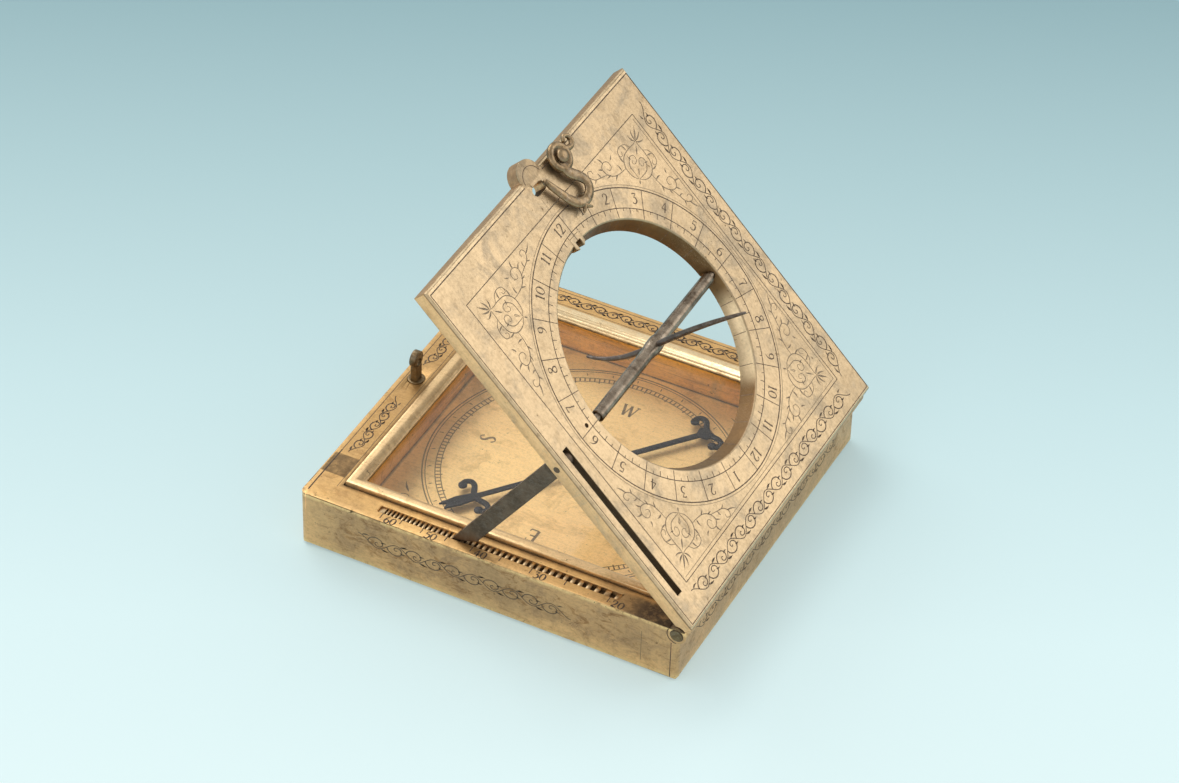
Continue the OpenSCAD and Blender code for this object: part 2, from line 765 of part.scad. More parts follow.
// Hook in the plate's frame, with its rivet at the origin; x is minus a
module hook_outline() {
    k = hook_reach / 7;
    circle(2.15 * k);
    // arm from the rivet round to the tip that lies over the hole for the staple
    strip(times([[1.2, -0.8, 1.6], [2.6, -0.3, 1.5], [4.1, 0.85, 1.35], [5.4, 1.25, 1.3],
        [6.5, 0.35, 1.25], [6.95, -1.1, 1.25], [6.5, -2.6, 1.1], [5.2, -3.7, 0.9], [3.6, -4.4, 0.75],
        [2.0, -5.0, 0.62], [0.75, -5.4, 0.5]], k), 5);
    // curled thumb piece
    strip(times([[-0.4, 1.2, 1.3], [0.1, 2.2, 0.9], [0.15, 3.2, 0.75], [-0.5, 3.95, 0.7],
        [-1.4, 3.8, 0.65], [-1.7, 3.0, 0.6]], k), 5);
    // small leaf at the lowest bend
    strip(times([[6.6, -2.2, 0.9], [7.5, -1.9, 0.75], [8.3, -1.0, 0.3]], k), 4);
}

module hook() {
    color(old_brass) on_plate() translate([-rivet_a, rivet_y, hook_c]) difference() {
        linear_extrude(hook_thickness) hook_outline();
        translate([0, 0, -over]) cylinder(r = rivet_r + rivet_fit, h = hook_thickness + 2 * over);
    }
}

case_box();
base_plate();
base_rivets();
compass_plate();
glass_pane();
bezel();
needle_pivot();
needle();
needle_cap();
latitude_rack();
catch_staple();
staple_collar();
hinge_knuckle_front();
hinge_knuckle_rear();
hinge_pin();
hour_plate();
plate_barrel();
gnomon_rest();
journal_caps();
keeper_pin();
prop_pin();
hook_washer();
hook_rivet();
gnomon_bar();
gnomon_wire();
prop_arm();
hook();
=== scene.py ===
import math
import bmesh
import bpy
import numpy as np
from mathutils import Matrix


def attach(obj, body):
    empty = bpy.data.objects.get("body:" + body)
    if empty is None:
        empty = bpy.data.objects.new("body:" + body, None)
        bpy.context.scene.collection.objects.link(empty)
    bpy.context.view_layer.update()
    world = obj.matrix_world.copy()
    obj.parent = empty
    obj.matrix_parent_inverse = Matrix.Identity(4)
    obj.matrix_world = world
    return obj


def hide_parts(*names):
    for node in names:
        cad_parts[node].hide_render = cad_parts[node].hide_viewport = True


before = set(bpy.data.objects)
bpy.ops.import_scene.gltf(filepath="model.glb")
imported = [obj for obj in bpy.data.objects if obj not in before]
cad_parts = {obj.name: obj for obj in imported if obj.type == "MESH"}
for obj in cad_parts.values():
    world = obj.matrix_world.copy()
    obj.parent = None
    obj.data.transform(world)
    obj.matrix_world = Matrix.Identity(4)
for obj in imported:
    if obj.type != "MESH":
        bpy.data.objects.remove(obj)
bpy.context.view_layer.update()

mm = 0.001
scene = bpy.context.scene
scene.view_settings.view_transform = "Standard"

# sizes of the finished dial that the ornament and the dressed pieces share, in millimetres
case = dict(halfX=30.0, halfY=29.4, top=9.8, bezelX=25.0, bezelY=25.0, cardZ=3.0)
plate = dict(hingeX=29.75, hingeZ=8.8, openBy=45.7, face=3.27, middle=29.55, end=59.75, overhang=0.15,
             tabY=0.6, barC=2.2, holeR=18.4, wallTop=3.02, wallSlope=0.4455)


def onPlate(a, y, c):
    # the plate's own frame: a runs up from the hinge axis, c square to the plate
    t = math.radians(plate["openBy"])
    a, y, c = np.broadcast_arrays(np.asarray(a, float), np.asarray(y, float), np.asarray(c, float))
    x = plate["hingeX"] - a * math.cos(t) + c * math.sin(t)
    z = plate["hingeZ"] + a * math.sin(t) + c * math.cos(t)
    return np.stack([x, y, z], -1) * mm


def direction(a, y, c):
    # a direction given in the plate's own frame
    return (onPlate(a, y, c) - onPlate(0, 0, 0)) / mm


def placed(x, y, z, where):
    # a matrix from three axes and a place
    m = np.eye(4)
    m[:3] = np.stack([x, y, z, where], 1)
    return m.T.tolist()


# camera

photoView = dict(azimuth=26.20, elevation=40.23, roll=1.697, distance=615.30, right=0.783, up=14.370,
                 focalPixels=4223.9, frameWidth=1179, sensor=36.0)


def placeCamera(v):
    # looks back along a direction given by azimuth and elevation, then is rolled about that line
    az, el, roll = (math.radians(v[k]) for k in ("azimuth", "elevation", "roll"))
    back = np.array([math.sin(az) * math.cos(el), -math.cos(az) * math.cos(el), math.sin(el)])
    side = np.cross(-back, [0, 0, 1])
    side /= np.linalg.norm(side)
    up = np.cross(side, -back)
    where = back * v["distance"] + side * v["right"] + up * v["up"]
    turnedSide = side * math.cos(roll) + up * math.sin(roll)
    turnedUp = up * math.cos(roll) - side * math.sin(roll)
    lens = bpy.data.cameras.new("camera")
    lens.sensor_width = v["sensor"]
    lens.lens = v["focalPixels"] / v["frameWidth"] * v["sensor"]
    lens.clip_start, lens.clip_end = 0.01, 20
    cam = bpy.data.objects.new("camera", lens)
    cam.matrix_world = placed(turnedSide, turnedUp, back, where * mm)
    scene.collection.objects.link(cam)
    scene.camera = cam


placeCamera(photoView)
print("camera placed")


# node helpers

class Field:
    # a value, colour or place in a node tree; each sign of arithmetic on it adds a math node
    def __init__(self, socket):
        self.socket, self.tree = socket, socket.id_data

    def __add__(self, other):
        return calc("ADD", self, other)

    def __sub__(self, other):
        return calc("SUBTRACT", self, other)

    def __rsub__(self, other):
        return calc("SUBTRACT", other, self)

    def __mul__(self, other):
        return calc("MULTIPLY", self, other)

    def __truediv__(self, other):
        return calc("DIVIDE", self, other)

    def __abs__(self):
        return calc("ABSOLUTE", self)

    def clamped(self):
        self.socket.node.use_clamp = True
        return self


def put(tree, kind, given=None, **settings):
    # a new node with its settings, and with its inputs set or linked
    n = tree.nodes.new(kind)
    for k, v in settings.items():
        setattr(n, k, v)
    for k, v in (given or {}).items():
        if isinstance(v, Field):
            tree.links.new(v.socket, n.inputs[k])
        else:
            n.inputs[k].default_value = (*v, 1.0) if n.inputs[k].type == "RGBA" else v
    return n


def field(tree, kind, given=None, output=0, **settings):
    return Field(put(tree, kind, given, **settings).outputs[output])


def calc(how, *values):
    tree = next(v.tree for v in values if isinstance(v, Field))
    return field(tree, "ShaderNodeMath", dict(enumerate(values)), operation=how)


def most(first, *others):
    for other in others:
        first = calc("MAXIMUM", first, other)
    return first


def blend(amount, a, b, how="MIX"):
    tree = next(v.tree for v in (amount, a, b) if isinstance(v, Field))
    return field(tree, "ShaderNodeMix", {0: amount, 6: a, 7: b}, 2, data_type="RGBA", blend_type=how)


def tint(amount, tones, new):
    # both tones of a finish turn to the new pair by the same amount
    return [blend(amount, tone, other) for tone, other in zip(tones, new)]


def between(value, low, high, outLow=0.0, outHigh=1.0):
    # smooth step from low to high, given out as outLow to outHigh
    return field(value.tree, "ShaderNodeMapRange", {0: value, 1: low, 2: high, 3: outLow, 4: outHigh},
                 interpolation_type="SMOOTHSTEP")


def stepsOf(zones):
    # smooth steps that are looked up by name in one finish's dictionary
    return lambda value, name: between(value, *zones[name])


def noise(where, scale, detail=4.0, rough=0.55, warp=0.0):
    return field(where.tree, "ShaderNodeTexNoise", {"Vector": where, "Scale": scale, "Detail": detail,
                                                    "Roughness": rough, "Distortion": warp})


def stretched(where, turn, scale):
    # the same place seen in a frame turned about z and unevenly scaled, for drawn-out marks
    return field(where.tree, "ShaderNodeMapping", {"Vector": where, "Rotation": (0, 0, turn), "Scale": scale})


def shifted(where, x):
    return field(where.tree, "ShaderNodeMapping", {"Vector": where, "Location": (x, 0, 0)})


def split(where):
    return [Field(s) for s in put(where.tree, "ShaderNodeSeparateXYZ", {0: where}).outputs]


def group(name, inputs, outputs):
    # a new node group that is given a place and the inputs, three numbers for a colour and one for a value;
    # gives its inputs as fields, and the function that links what it puts out
    tree = bpy.data.node_groups.new(name, "ShaderNodeTree")
    tree.interface.new_socket(name="Place", in_out="INPUT", socket_type="NodeSocketVector")
    for label, start in inputs.items():
        isColor = isinstance(start, tuple)
        kind = "NodeSocketColor" if isColor else "NodeSocketFloat"
        s = tree.interface.new_socket(name=label, in_out="INPUT", socket_type=kind)
        s.default_value = (*start, 1.0) if isColor else start
    for label in outputs:
        kind = "NodeSocketColor" if label == "Color" else "NodeSocketFloat"
        tree.interface.new_socket(name=label, in_out="OUTPUT", socket_type=kind)
    given = {s.name: Field(s) for s in tree.nodes.new("NodeGroupInput").outputs if s.name}

    def close(values):
        put(tree, "NodeGroupOutput", values)
        return tree

    return given, close


def makeScratches():
    # thin bright marks: three drawn-out noises, each kept only near its middle value
    given, close = group("scratches", {"Amount": 0.5}, ["Mask"])
    marks = []
    for turn, across in ((0.5, 2.6), (-0.9, 3.4), (1.5, 2.2)):
        line = noise(stretched(given["Place"], turn, (0.07, across, across)), 1.0, 2.0)
        marks.append(between(abs(line - 0.5), 0.004, 0.0))
    patch = between(noise(given["Place"], 0.12, 2.0), 0.45, 0.62)
    return close({"Mask": most(*marks) * patch * given["Amount"]})


surfaceParts = ("Color", "Roughness", "Metallic", "Height")


def makeAgedMetal(scratches):
    # two tones in broad clouds, bloom and brown stains in patches, specks, worn edges, grime and painted
    # shade, scratches
    inputs = {"Clean": (0.8, 0.6, 0.35), "Second": (0.6, 0.45, 0.27), "Bloom": (0.4, 0.38, 0.34),
              "Grime": (0.12, 0.07, 0.035), "Worn": (0.9, 0.7, 0.42), "Cloud Scale": 0.09,
              "Bloom Amount": 0.4, "Stain Amount": 0.3, "Speck Amount": 0.5, "Grime And Shade Mask": 0.0,
              "Wear Mask": 0.0, "Scratch Amount": 0.5, "Roughness": 0.38, "Metallic": 0.9}
    given, close = group("agedMetal", inputs, surfaceParts)
    place, scale, darkTone = given["Place"], given["Cloud Scale"], given["Grime"]
    cloud = between(noise(place, scale, 5.0, 0.6, 0.4), 0.35, 0.68)
    color = blend(cloud, given["Clean"], given["Second"])
    bloom = between(noise(place, scale * 2.7, 8.0, 0.72, 0.8), 0.46, 0.66) * given["Bloom Amount"]
    color = blend(bloom, color, given["Bloom"])
    # stains: ragged patches, drawn out a little along x
    drawn = stretched(place, 0.2, (0.6, 1.0, 1.3))
    stain = between(noise(drawn, scale * 4.3, 9.0, 0.74, 1.2), 0.5, 0.64) * given["Stain Amount"]
    color = blend(stain, color, (0.42, 0.33, 0.23), "MULTIPLY")
    # fine grain of the rubbed surface, in two directions
    grain = noise(place, 2.3, 6.0, 0.72)
    brushed = noise(stretched(place, 0.8, (0.35, 3.2, 3.2)), 1.0, 3.0, 0.6)
    color = blend(between(grain, 0.42, 0.72) * 0.2, color, darkTone)
    color = blend(between(brushed, 0.45, 0.7) * 0.1, color, darkTone)
    worn = (given["Wear Mask"] * between(noise(place, 0.8, 6.0, 0.7, 0.5), 0.36, 0.56)).clamped()
    color = blend(worn, color, given["Worn"])
    speckPatch = between(noise(place, 0.16, 2.0), 0.42, 0.62)
    speck = between(noise(place, 1.1, 3.0, 0.75, 0.3), 0.645, 0.69) * speckPatch * given["Speck Amount"]
    color = blend(speck, color, darkTone)
    # the grime mask carries real grime and, on some pieces, painted shade
    grimeAndShade = (given["Grime And Shade Mask"] * between(noise(place, 0.9, 5.0, 0.7), 0.25, 0.6, 0.55, 1.0)).clamped()
    color = blend(grimeAndShade, color, darkTone)
    scratch = field(place.tree, "ShaderNodeGroup", {"Place": place, "Amount": given["Scratch Amount"]},
                    node_tree=scratches)
    color = blend(scratch * 0.5, color, given["Worn"])
    rough = given["Roughness"] + bloom * 0.22 + (grimeAndShade + stain) * 0.25 + (grain - 0.5) * 0.35 - worn * 0.08
    metal = (given["Metallic"] - grimeAndShade * 0.45).clamped()
    height = noise(place, 0.55, 6.0, 0.6) * 0.6 + brushed * 0.12 - scratch * 0.25 - speck * 0.5
    return close({"Color": color, "Roughness": rough, "Metallic": metal, "Height": height})


def makeFrameEdge():
    # 1 close to the outline of a rectangle centred on the place, 0 further in than the reach
    given, close = group("frameEdge", {"Half X": 30.0, "Half Y": 30.0, "Reach": 1.0}, ["Mask"])
    x, y = split(given["Place"])[:2]
    inside = calc("MINIMUM", given["Half X"] - abs(x), given["Half Y"] - abs(y))
    share = (abs(inside) / given["Reach"]).clamped()
    return close({"Mask": (1.0 - share).clamped()})


agedGroup = makeAgedMetal(makeScratches())
edgeGroup = makeFrameEdge()


def newMaterial(name):
    m = bpy.data.materials.new(name)
    m.use_nodes = True
    m.node_tree.nodes.clear()
    return m, m.node_tree


def millimetres(tree, centre=(0, 0, 0), turn=(0, 0, 0)):
    # object coordinates, centred and turned for the piece, and in millimetres
    where = field(tree, "ShaderNodeTexCoord", output="Object")
    return field(tree, "ShaderNodeMapping", {"Vector": where, "Location": [c * mm for c in centre],
                                             "Rotation": turn, "Scale": (mm, mm, mm)}, vector_type="TEXTURE")


def plateMillimetres(tree):
    return millimetres(tree, (plate["hingeX"], 0, plate["hingeZ"]), (0, math.radians(plate["openBy"]), 0))


def finish(surface, bumpDepth):
    # the surface shader, with a bump whose depth is in millimetres
    tree = surface["Color"].tree
    bump = field(tree, "ShaderNodeBump", {"Strength": 0.6, "Distance": bumpDepth * mm,
                                          "Height": surface["Height"]})
    shader = field(tree, "ShaderNodeBsdfPrincipled", {
        "Base Color": surface["Color"], "Roughness": surface["Roughness"], "Metallic": surface["Metallic"],
        "Normal": bump})
    put(tree, "ShaderNodeOutputMaterial", {"Surface": shader})


def agedMetal(place, look, masks):
    # the shared group with one look's values; what masks names changes over the surface instead
    g = put(place.tree, "ShaderNodeGroup", {"Place": place, **look, **masks}, node_tree=agedGroup)
    return {k: Field(g.outputs[k]) for k in surfaceParts}


def edgeMask(place, halfX, halfY, reach):
    return field(place.tree, "ShaderNodeGroup", {"Place": place, "Half X": halfX, "Half Y": halfY,
                                                 "Reach": reach}, node_tree=edgeGroup)


def box2d(x, y, cx, cy, halfX, halfY, soft):
    # 1 inside a rectangle of the ground plan, 0 outside, with a soft edge
    return between(abs(x - cx), halfX, halfX - soft) * between(abs(y - cy), halfY, halfY - soft)


# in each finish's zones a pair is the two ends of a soft step, in millimetres unless it reads a noise or a
# direction, and a third and fourth number are what it gives out there; five numbers are a box: its
# centre, its half sizes and its soft edge

paleGilding = {"Clean": (0.69, 0.51, 0.305), "Second": (0.575, 0.43, 0.26), "Bloom": (0.40, 0.335, 0.25),
               "Grime": (0.14, 0.085, 0.04), "Worn": (0.88, 0.69, 0.43), "Cloud Scale": 0.055,
               "Bloom Amount": 0.5, "Stain Amount": 0.14, "Speck Amount": 0.7, "Scratch Amount": 0.7,
               "Roughness": 0.37, "Metallic": 0.92}
plateTones = dict(sides=[(0.97, 0.58, 0.285), (0.78, 0.48, 0.245)],
                  wall=[(0.43, 0.245, 0.09), (0.17, 0.092, 0.034)], wallLowShade=(0.16, 0.09, 0.035),
                  wallGlint=[(1.0, 0.83, 0.55), (0.9, 0.7, 0.43)], slot=[(0.03, 0.02, 0.012)] * 2,
                  wallDirtAndShade=0.35, tabShade=0.22, farShade=0.12)
plateZones = dict(
    sides=(3.0, 2.9), wall=(18.62, 18.42), wallTop=(3.25, 3.0), wallLowShade=(3.0, 12.0, 0.0, 0.5),
    wallGlint=(0.9, 0.98), wallGlintFoot=(1.0, 2.4, 0.6, 1.0), wallGlintToward=(0.53, 0.848, 0.0),
    rimReach=0.55, rimFoot=(2.9, 3.15), endRim=(-58.8, -58.95, 0.0, 0.3),
    tab=(-58.6, -58.8), tabSides=(2.9, 2.6), catchHole=(-57.9, 0.6, 1.4, 1.0, 0.1), catchHoleFoot=(1.0, 1.1),
    slot=(-16.0, -27.05, 15.0, 1.15, 0.1), slotTop=(3.26, 3.1), outside=(20.0, 21.0),
    lineFoot=(2.84, 2.94, 0.0, 0.75), lineTop=(3.05, 2.98), foot=(2.2, 1.2, 0.0, 0.2),
    shadedEndFace=(-59.5, -59.68, 0.0, 0.6), shadedEndFaceTop=(3.12, 2.95),
    topCorner=(-42.0, -60.0), topCornerY=(-15.0, 8.0), farBand=(8.0, 24.0))


def plateGilding():
    m, tree = newMaterial("plate_gilding")
    tone, zones, step = plateTones, plateZones, stepsOf(plateZones)
    place = plateMillimetres(tree)
    x, y, z = split(place)  # x runs down the plate, from the catch end at minus its length
    middle = shifted(place, plate["middle"])
    midX, midY = split(middle)[:2]
    flat = field(tree, "ShaderNodeCombineXYZ", {0: midX, 1: midY})
    away = field(tree, "ShaderNodeVectorMath", {0: flat}, "Value", operation="LENGTH")
    wall = step(away, "wall") * step(z, "wallTop")
    halfLong = (plate["end"] + plate["overhang"]) / 2
    outline = shifted(place, halfLong - plate["overhang"])
    tab = step(x, "tab") * step(abs(y - plate["tabY"]), "tabSides")
    rim = most(edgeMask(outline, halfLong, case["halfY"], zones["rimReach"]), step(x, "endRim"))
    rim = rim * step(z, "rimFoot") * (1.0 - tab)
    # painted shade: the insides of the slot and the catch hole are painted near black and grimy
    catchHole = box2d(x, y, *zones["catchHole"]) * step(z, "catchHoleFoot")
    slot = most(box2d(x, y, *zones["slot"]), catchHole) * step(z, "slotTop")
    # the outer sides: a dark line under the worn rim, a little grime below
    line = step(z, "lineFoot") * step(z, "lineTop")
    low = most(step(z, "foot"), line) * step(away, "outside")
    # painted shade on the catch's end face and on the tab
    low = most(low, step(x, "shadedEndFace") * step(z, "shadedEndFaceTop"), tab * tone["tabShade"])
    # the hole's wall is brown, partly patina and partly painted shade; one stretch of it carries a painted
    # highlight
    toward = field(tree, "ShaderNodeVectorMath", {0: middle, 1: zones["wallGlintToward"]}, "Value",
                   operation="DOT_PRODUCT") / away
    wallGlint = wall * step(toward, "wallGlint") * step(z, "wallGlintFoot")
    tones = tint(step(z, "sides"), (paleGilding["Clean"], paleGilding["Second"]), tone["sides"])
    tones = tint(wall, tones, tone["wall"])
    # painted shade: the lower side of the hole's wall is painted darker
    tones[0] = blend(wall * step(midX, "wallLowShade"), tones[0], tone["wallLowShade"])
    tones = tint(slot, tint(wallGlint, tones, tone["wallGlint"]), tone["slot"])
    # the grime mask also takes the painted shade of the slot, the end face, the tab and the hole's wall
    grimeAndShade = most(low, slot, (wall - wallGlint) * tone["wallDirtAndShade"])
    # painted shade: the top corner and the far band are painted a little darker
    far = most(step(x, "topCorner") * step(y, "topCornerY"), step(y, "farBand"))
    shade = 1.0 - far * tone["farShade"]
    clean, second = (blend(1.0, t, shade, "MULTIPLY") for t in tones)
    masks = {"Grime And Shade Mask": grimeAndShade, "Wear Mask": rim, "Clean": clean, "Second": second,
             "Bloom Amount": (1.0 - wall) * paleGilding["Bloom Amount"]}
    finish(agedMetal(place, paleGilding, masks), 0.02)
    return m


browned = {"Clean": (0.64, 0.41, 0.185), "Second": (0.48, 0.325, 0.165), "Bloom": (0.37, 0.235, 0.135),
           "Grime": (0.07, 0.042, 0.02), "Worn": (0.88, 0.58, 0.27), "Cloud Scale": 0.11,
           "Bloom Amount": 0.6, "Stain Amount": 0.5, "Speck Amount": 0.8, "Scratch Amount": 0.6,
           "Roughness": 0.38, "Metallic": 0.93}
caseTones = dict(faces=[(0.86, 0.51, 0.235), (0.62, 0.38, 0.19)],
                 top=[(0.76, 0.475, 0.19), (0.52, 0.32, 0.135)], leftStrip=(0.3, 0.18, 0.075),
                 well=[(1.0, 0.64, 0.22), (0.92, 0.54, 0.18)],
                 streak=[(0.32, 0.18, 0.07), (0.28, 0.155, 0.06)], tarnish=(0.36, 0.36, 0.23),
                 browning=[(0.46, 0.262, 0.13), (0.36, 0.21, 0.105)])
caseZones = dict(
    well=(0.0, 0.0, 24.6, 24.6, 0.2), wellFoot=(1.2, 1.6), top=(9.6, 9.75),
    leftStrip=(-25.0, -25.4, 0.0, 0.45), leftStripEnd=(-20.0, -18.0), streak=(0.5, 0.68, 0.0, 0.5),
    tarnish=(0.56, 0.66, 0.0, 0.7), ends=(29.0, 20.0, 0.25, 1.0), cover=(1.2, 3.6), coverRagged=9.0,
    backFace=(29.0, 29.3), leftFace=(-29.6, -29.9), softerBy=0.55, rubbedFoot=(1.6, 0.5),
    rubbedTop=(8.9, 9.5), rimReach=0.9, patch=(-27.8, -21.6, 2.1, 2.3, 0.25), shadeUnderPlate=(17.0, 25.0),
    shadeUnderPlateEnd=(-25.2, -26.4), bezelHalf=25.1, bezelReach=0.75, foot=(0.5, 0.1, 0.0, 0.7),
    shadowUnderBezel=(8.6, 9.0, 0.0, 0.95))


def caseGilding():
    m, tree = newMaterial("case_gilding")
    tone, zones, step = caseTones, caseZones, stepsOf(caseZones)
    place = millimetres(tree)
    x, y, z = split(place)
    inWell = box2d(x, y, *zones["well"]) * step(z, "wellFoot")
    onTop = step(z, "top")
    tones = tint(onTop, tone["faces"], tone["top"])
    leftStrip = step(x, "leftStrip") * step(y, "leftStripEnd") * onTop
    tones[0] = blend(leftStrip, tones[0], tone["leftStrip"])
    tones = tint(inWell, tones, tone["well"])
    streak = step(noise(stretched(place, 0, (0.1, 0.1, 1.9)), 1.0, 5.0, 0.65), "streak") * inWell
    tones = tint(streak, tones, tone["streak"])
    tarnish = step(noise(place, 0.14, 4.0, 0.6), "tarnish") * inWell
    tones[0] = blend(tarnish, tones[0], tone["tarnish"])
    # the outer faces carry a brown cover in their upper part, and are rubbed to gold at the edges; the
    # back and left faces carry less of it
    outer = (1.0 - onTop - inWell).clamped()
    ragged = noise(stretched(place, 0, (0.5, 0.5, 1.0)), 0.3, 6.0, 0.7)
    height = z + (ragged - 0.5) * zones["coverRagged"]
    cover = step(height, "cover") * outer * step(abs(x - 1.0), "ends")
    softer = 1.0 - most(step(y, "backFace"), step(x, "leftFace")) * zones["softerBy"]
    clean, second = tint(cover * 0.5 * softer, tones, tone["browning"])
    rubbed = most(step(z, "rubbedFoot"), step(z, "rubbedTop")) * outer
    rim = edgeMask(place, case["halfX"], case["halfY"], zones["rimReach"]) * onTop * 0.5
    # dark: an old patch beside one corner, painted shadow round the bezel, painted shade under the plate by
    # the hinge, grime along the foot
    patch = box2d(x, y, *zones["patch"]) * 0.75
    shadeUnderPlate = step(x, "shadeUnderPlate") * step(y, "shadeUnderPlateEnd")
    shadowRoundBezel = edgeMask(place, zones["bezelHalf"], zones["bezelHalf"], zones["bezelReach"]) * 0.9
    dark = most(patch, shadeUnderPlate, shadowRoundBezel) * onTop
    # painted shadow along the top of the well's walls, under the bezel
    masks = {"Grime And Shade Mask": most(dark, step(z, "foot"), step(z, "shadowUnderBezel") * inWell),
             "Wear Mask": most(rubbed, rim), "Clean": clean, "Second": second,
             "Bloom Amount": (cover * 0.6 + 0.1) * softer, "Stain Amount": (cover * 0.3 + 0.3) * softer}
    finish(agedMetal(place, browned, masks), 0.03)
    return m


def simpleMetal(name, changes, bumpDepth, onLid=False, shadeBelow=None):
    # one even finish: the browned look with its changes, and painted shade down a soft step in height if
    # given
    m, tree = newMaterial(name)
    place = plateMillimetres(tree) if onLid else millimetres(tree)
    masks = {"Grime And Shade Mask": between(split(place)[2], *shadeBelow)} if shadeBelow else {}
    finish(agedMetal(place, {**browned, **changes}, masks), bumpDepth)
    return m


moulding = {"Clean": (0.88, 0.63, 0.34), "Second": (0.74, 0.51, 0.26), "Bloom Amount": 0.25,
            "Stain Amount": 0.35, "Roughness": 0.32, "Metallic": 0.9}
mouldingHighlightTones = [(1.0, 0.83, 0.53), (0.92, 0.72, 0.44)]
mouldingZones = dict(far=(22.6, 23.4), left=(-22.6, -23.2, 0.0, 0.45), leftTop=(10.47, 10.3),
                     foot=(9.85, 9.4, 0.0, 0.8))


def mouldingGilding():
    # the bezel: a painted highlight along the far side, a little worn there too; painted shade on the left
    # and at its foot
    m, tree = newMaterial("moulding_gilding")
    step = stepsOf(mouldingZones)
    place = millimetres(tree)
    x, y, z = split(place)
    far = step(y, "far")
    clean, second = tint(far, (moulding["Clean"], moulding["Second"]), mouldingHighlightTones)
    grimeAndShade = most(step(z, "foot"), step(x, "left") * step(z, "leftTop"))
    masks = {"Grime And Shade Mask": grimeAndShade, "Wear Mask": far * 0.25, "Clean": clean, "Second": second}
    finish(agedMetal(place, {**browned, **moulding}, masks), 0.015)
    return m


cardLook = {"Clean": (1.0, 0.68, 0.29), "Second": (0.97, 0.63, 0.265), "Bloom": (0.55, 0.42, 0.24),
            "Bloom Amount": 0.1, "Stain Amount": 0.35, "Cloud Scale": 0.05, "Roughness": 0.40,
            "Metallic": 0.5, "Speck Amount": 0.6}


def cardGilding():
    # the compass card, with painted shade in the corner where it meets the well's walls
    m, tree = newMaterial("card_gilding")
    place = millimetres(tree)
    corner = dict(half=24.5, reach=0.7, grimeAndShade=1.6)
    edge = edgeMask(place, corner["half"], corner["half"], corner["reach"])
    finish(agedMetal(place, {**browned, **cardLook}, {"Grime And Shade Mask": edge * corner["grimeAndShade"]}), 0.015)
    return m


def engraved(name, dark, faint):
    # the filling of the engraved lines; the attribute says how deep and dark each line is
    m, tree = newMaterial(name)
    place = millimetres(tree)
    depth = field(tree, "ShaderNodeAttribute", output="Fac", attribute_name="inkDepth")
    broken = between(noise(place, 1.6, 3.0, 0.7), 0.3, 0.7, 0.75, 1.1)
    finish({"Color": blend((depth * broken).clamped(), faint, dark),
            "Roughness": between(noise(place, 3.0), 0.3, 0.7, 0.5, 0.75),
            "Metallic": between(depth, 0.2, 0.8, 0.6, 0.15), "Height": noise(place, 4.0)}, 0.01)
    return m


def clearGlass():
    # plain glass, which lets light through to the card without a dark shadow
    m, tree = newMaterial("clear_glass")
    shader = field(tree, "ShaderNodeBsdfPrincipled", {
        "Base Color": (0.985, 0.988, 0.98), "Roughness": 0.02, "Metallic": 0.0, "Transmission Weight": 1.0,
        "IOR": 1.45})
    path = put(tree, "ShaderNodeLightPath").outputs
    clear = field(tree, "ShaderNodeBsdfTransparent", {"Color": (0.975, 0.972, 0.955)})
    through = most(Field(path["Is Shadow Ray"]), Field(path["Is Diffuse Ray"]))
    mix = field(tree, "ShaderNodeMixShader", {0: through, 1: shader, 2: clear})
    put(tree, "ShaderNodeOutputMaterial", {"Surface": mix})
    return m


fittingLook = {"Clean": (0.26, 0.18, 0.088), "Second": (0.15, 0.1, 0.05), "Bloom": (0.3, 0.26, 0.19),
               "Cloud Scale": 0.5, "Bloom Amount": 0.5, "Roughness": 0.34, "Metallic": 0.9}
hookLook = {**fittingLook, "Clean": (0.42, 0.295, 0.165), "Second": (0.2, 0.135, 0.072),
            "Bloom": (0.42, 0.345, 0.26), "Roughness": 0.3}
steelLook = {"Clean": (0.38, 0.31, 0.235), "Second": (0.13, 0.095, 0.065), "Bloom": (0.34, 0.28, 0.22),
             "Grime": (0.07, 0.045, 0.03), "Worn": (0.6, 0.55, 0.47), "Cloud Scale": 0.4,
             "Bloom Amount": 0.5, "Roughness": 0.28, "Metallic": 0.95}
bluedLook = {"Clean": (0.15, 0.102, 0.068), "Second": (0.085, 0.058, 0.038), "Bloom": (0.2, 0.165, 0.13),
             "Grime": (0.05, 0.035, 0.025), "Worn": (0.3, 0.28, 0.25), "Cloud Scale": 0.3,
             "Bloom Amount": 0.5, "Stain Amount": 0.3, "Roughness": 0.42, "Metallic": 0.85}
needleLook = {**bluedLook, "Clean": (0.022, 0.022, 0.026), "Second": (0.015, 0.015, 0.017),
              "Bloom": (0.05, 0.047, 0.043), "Worn": (0.09, 0.085, 0.08), "Metallic": 1.0}
wireLook = {**bluedLook, "Clean": (0.17, 0.14, 0.12), "Second": (0.1, 0.08, 0.07),
            "Bloom": (0.3, 0.27, 0.25), "Roughness": 0.34}

gildedPlate = plateGilding()
gildedCase = caseGilding()
gildedMoulding = mouldingGilding()
gildedCard = cardGilding()
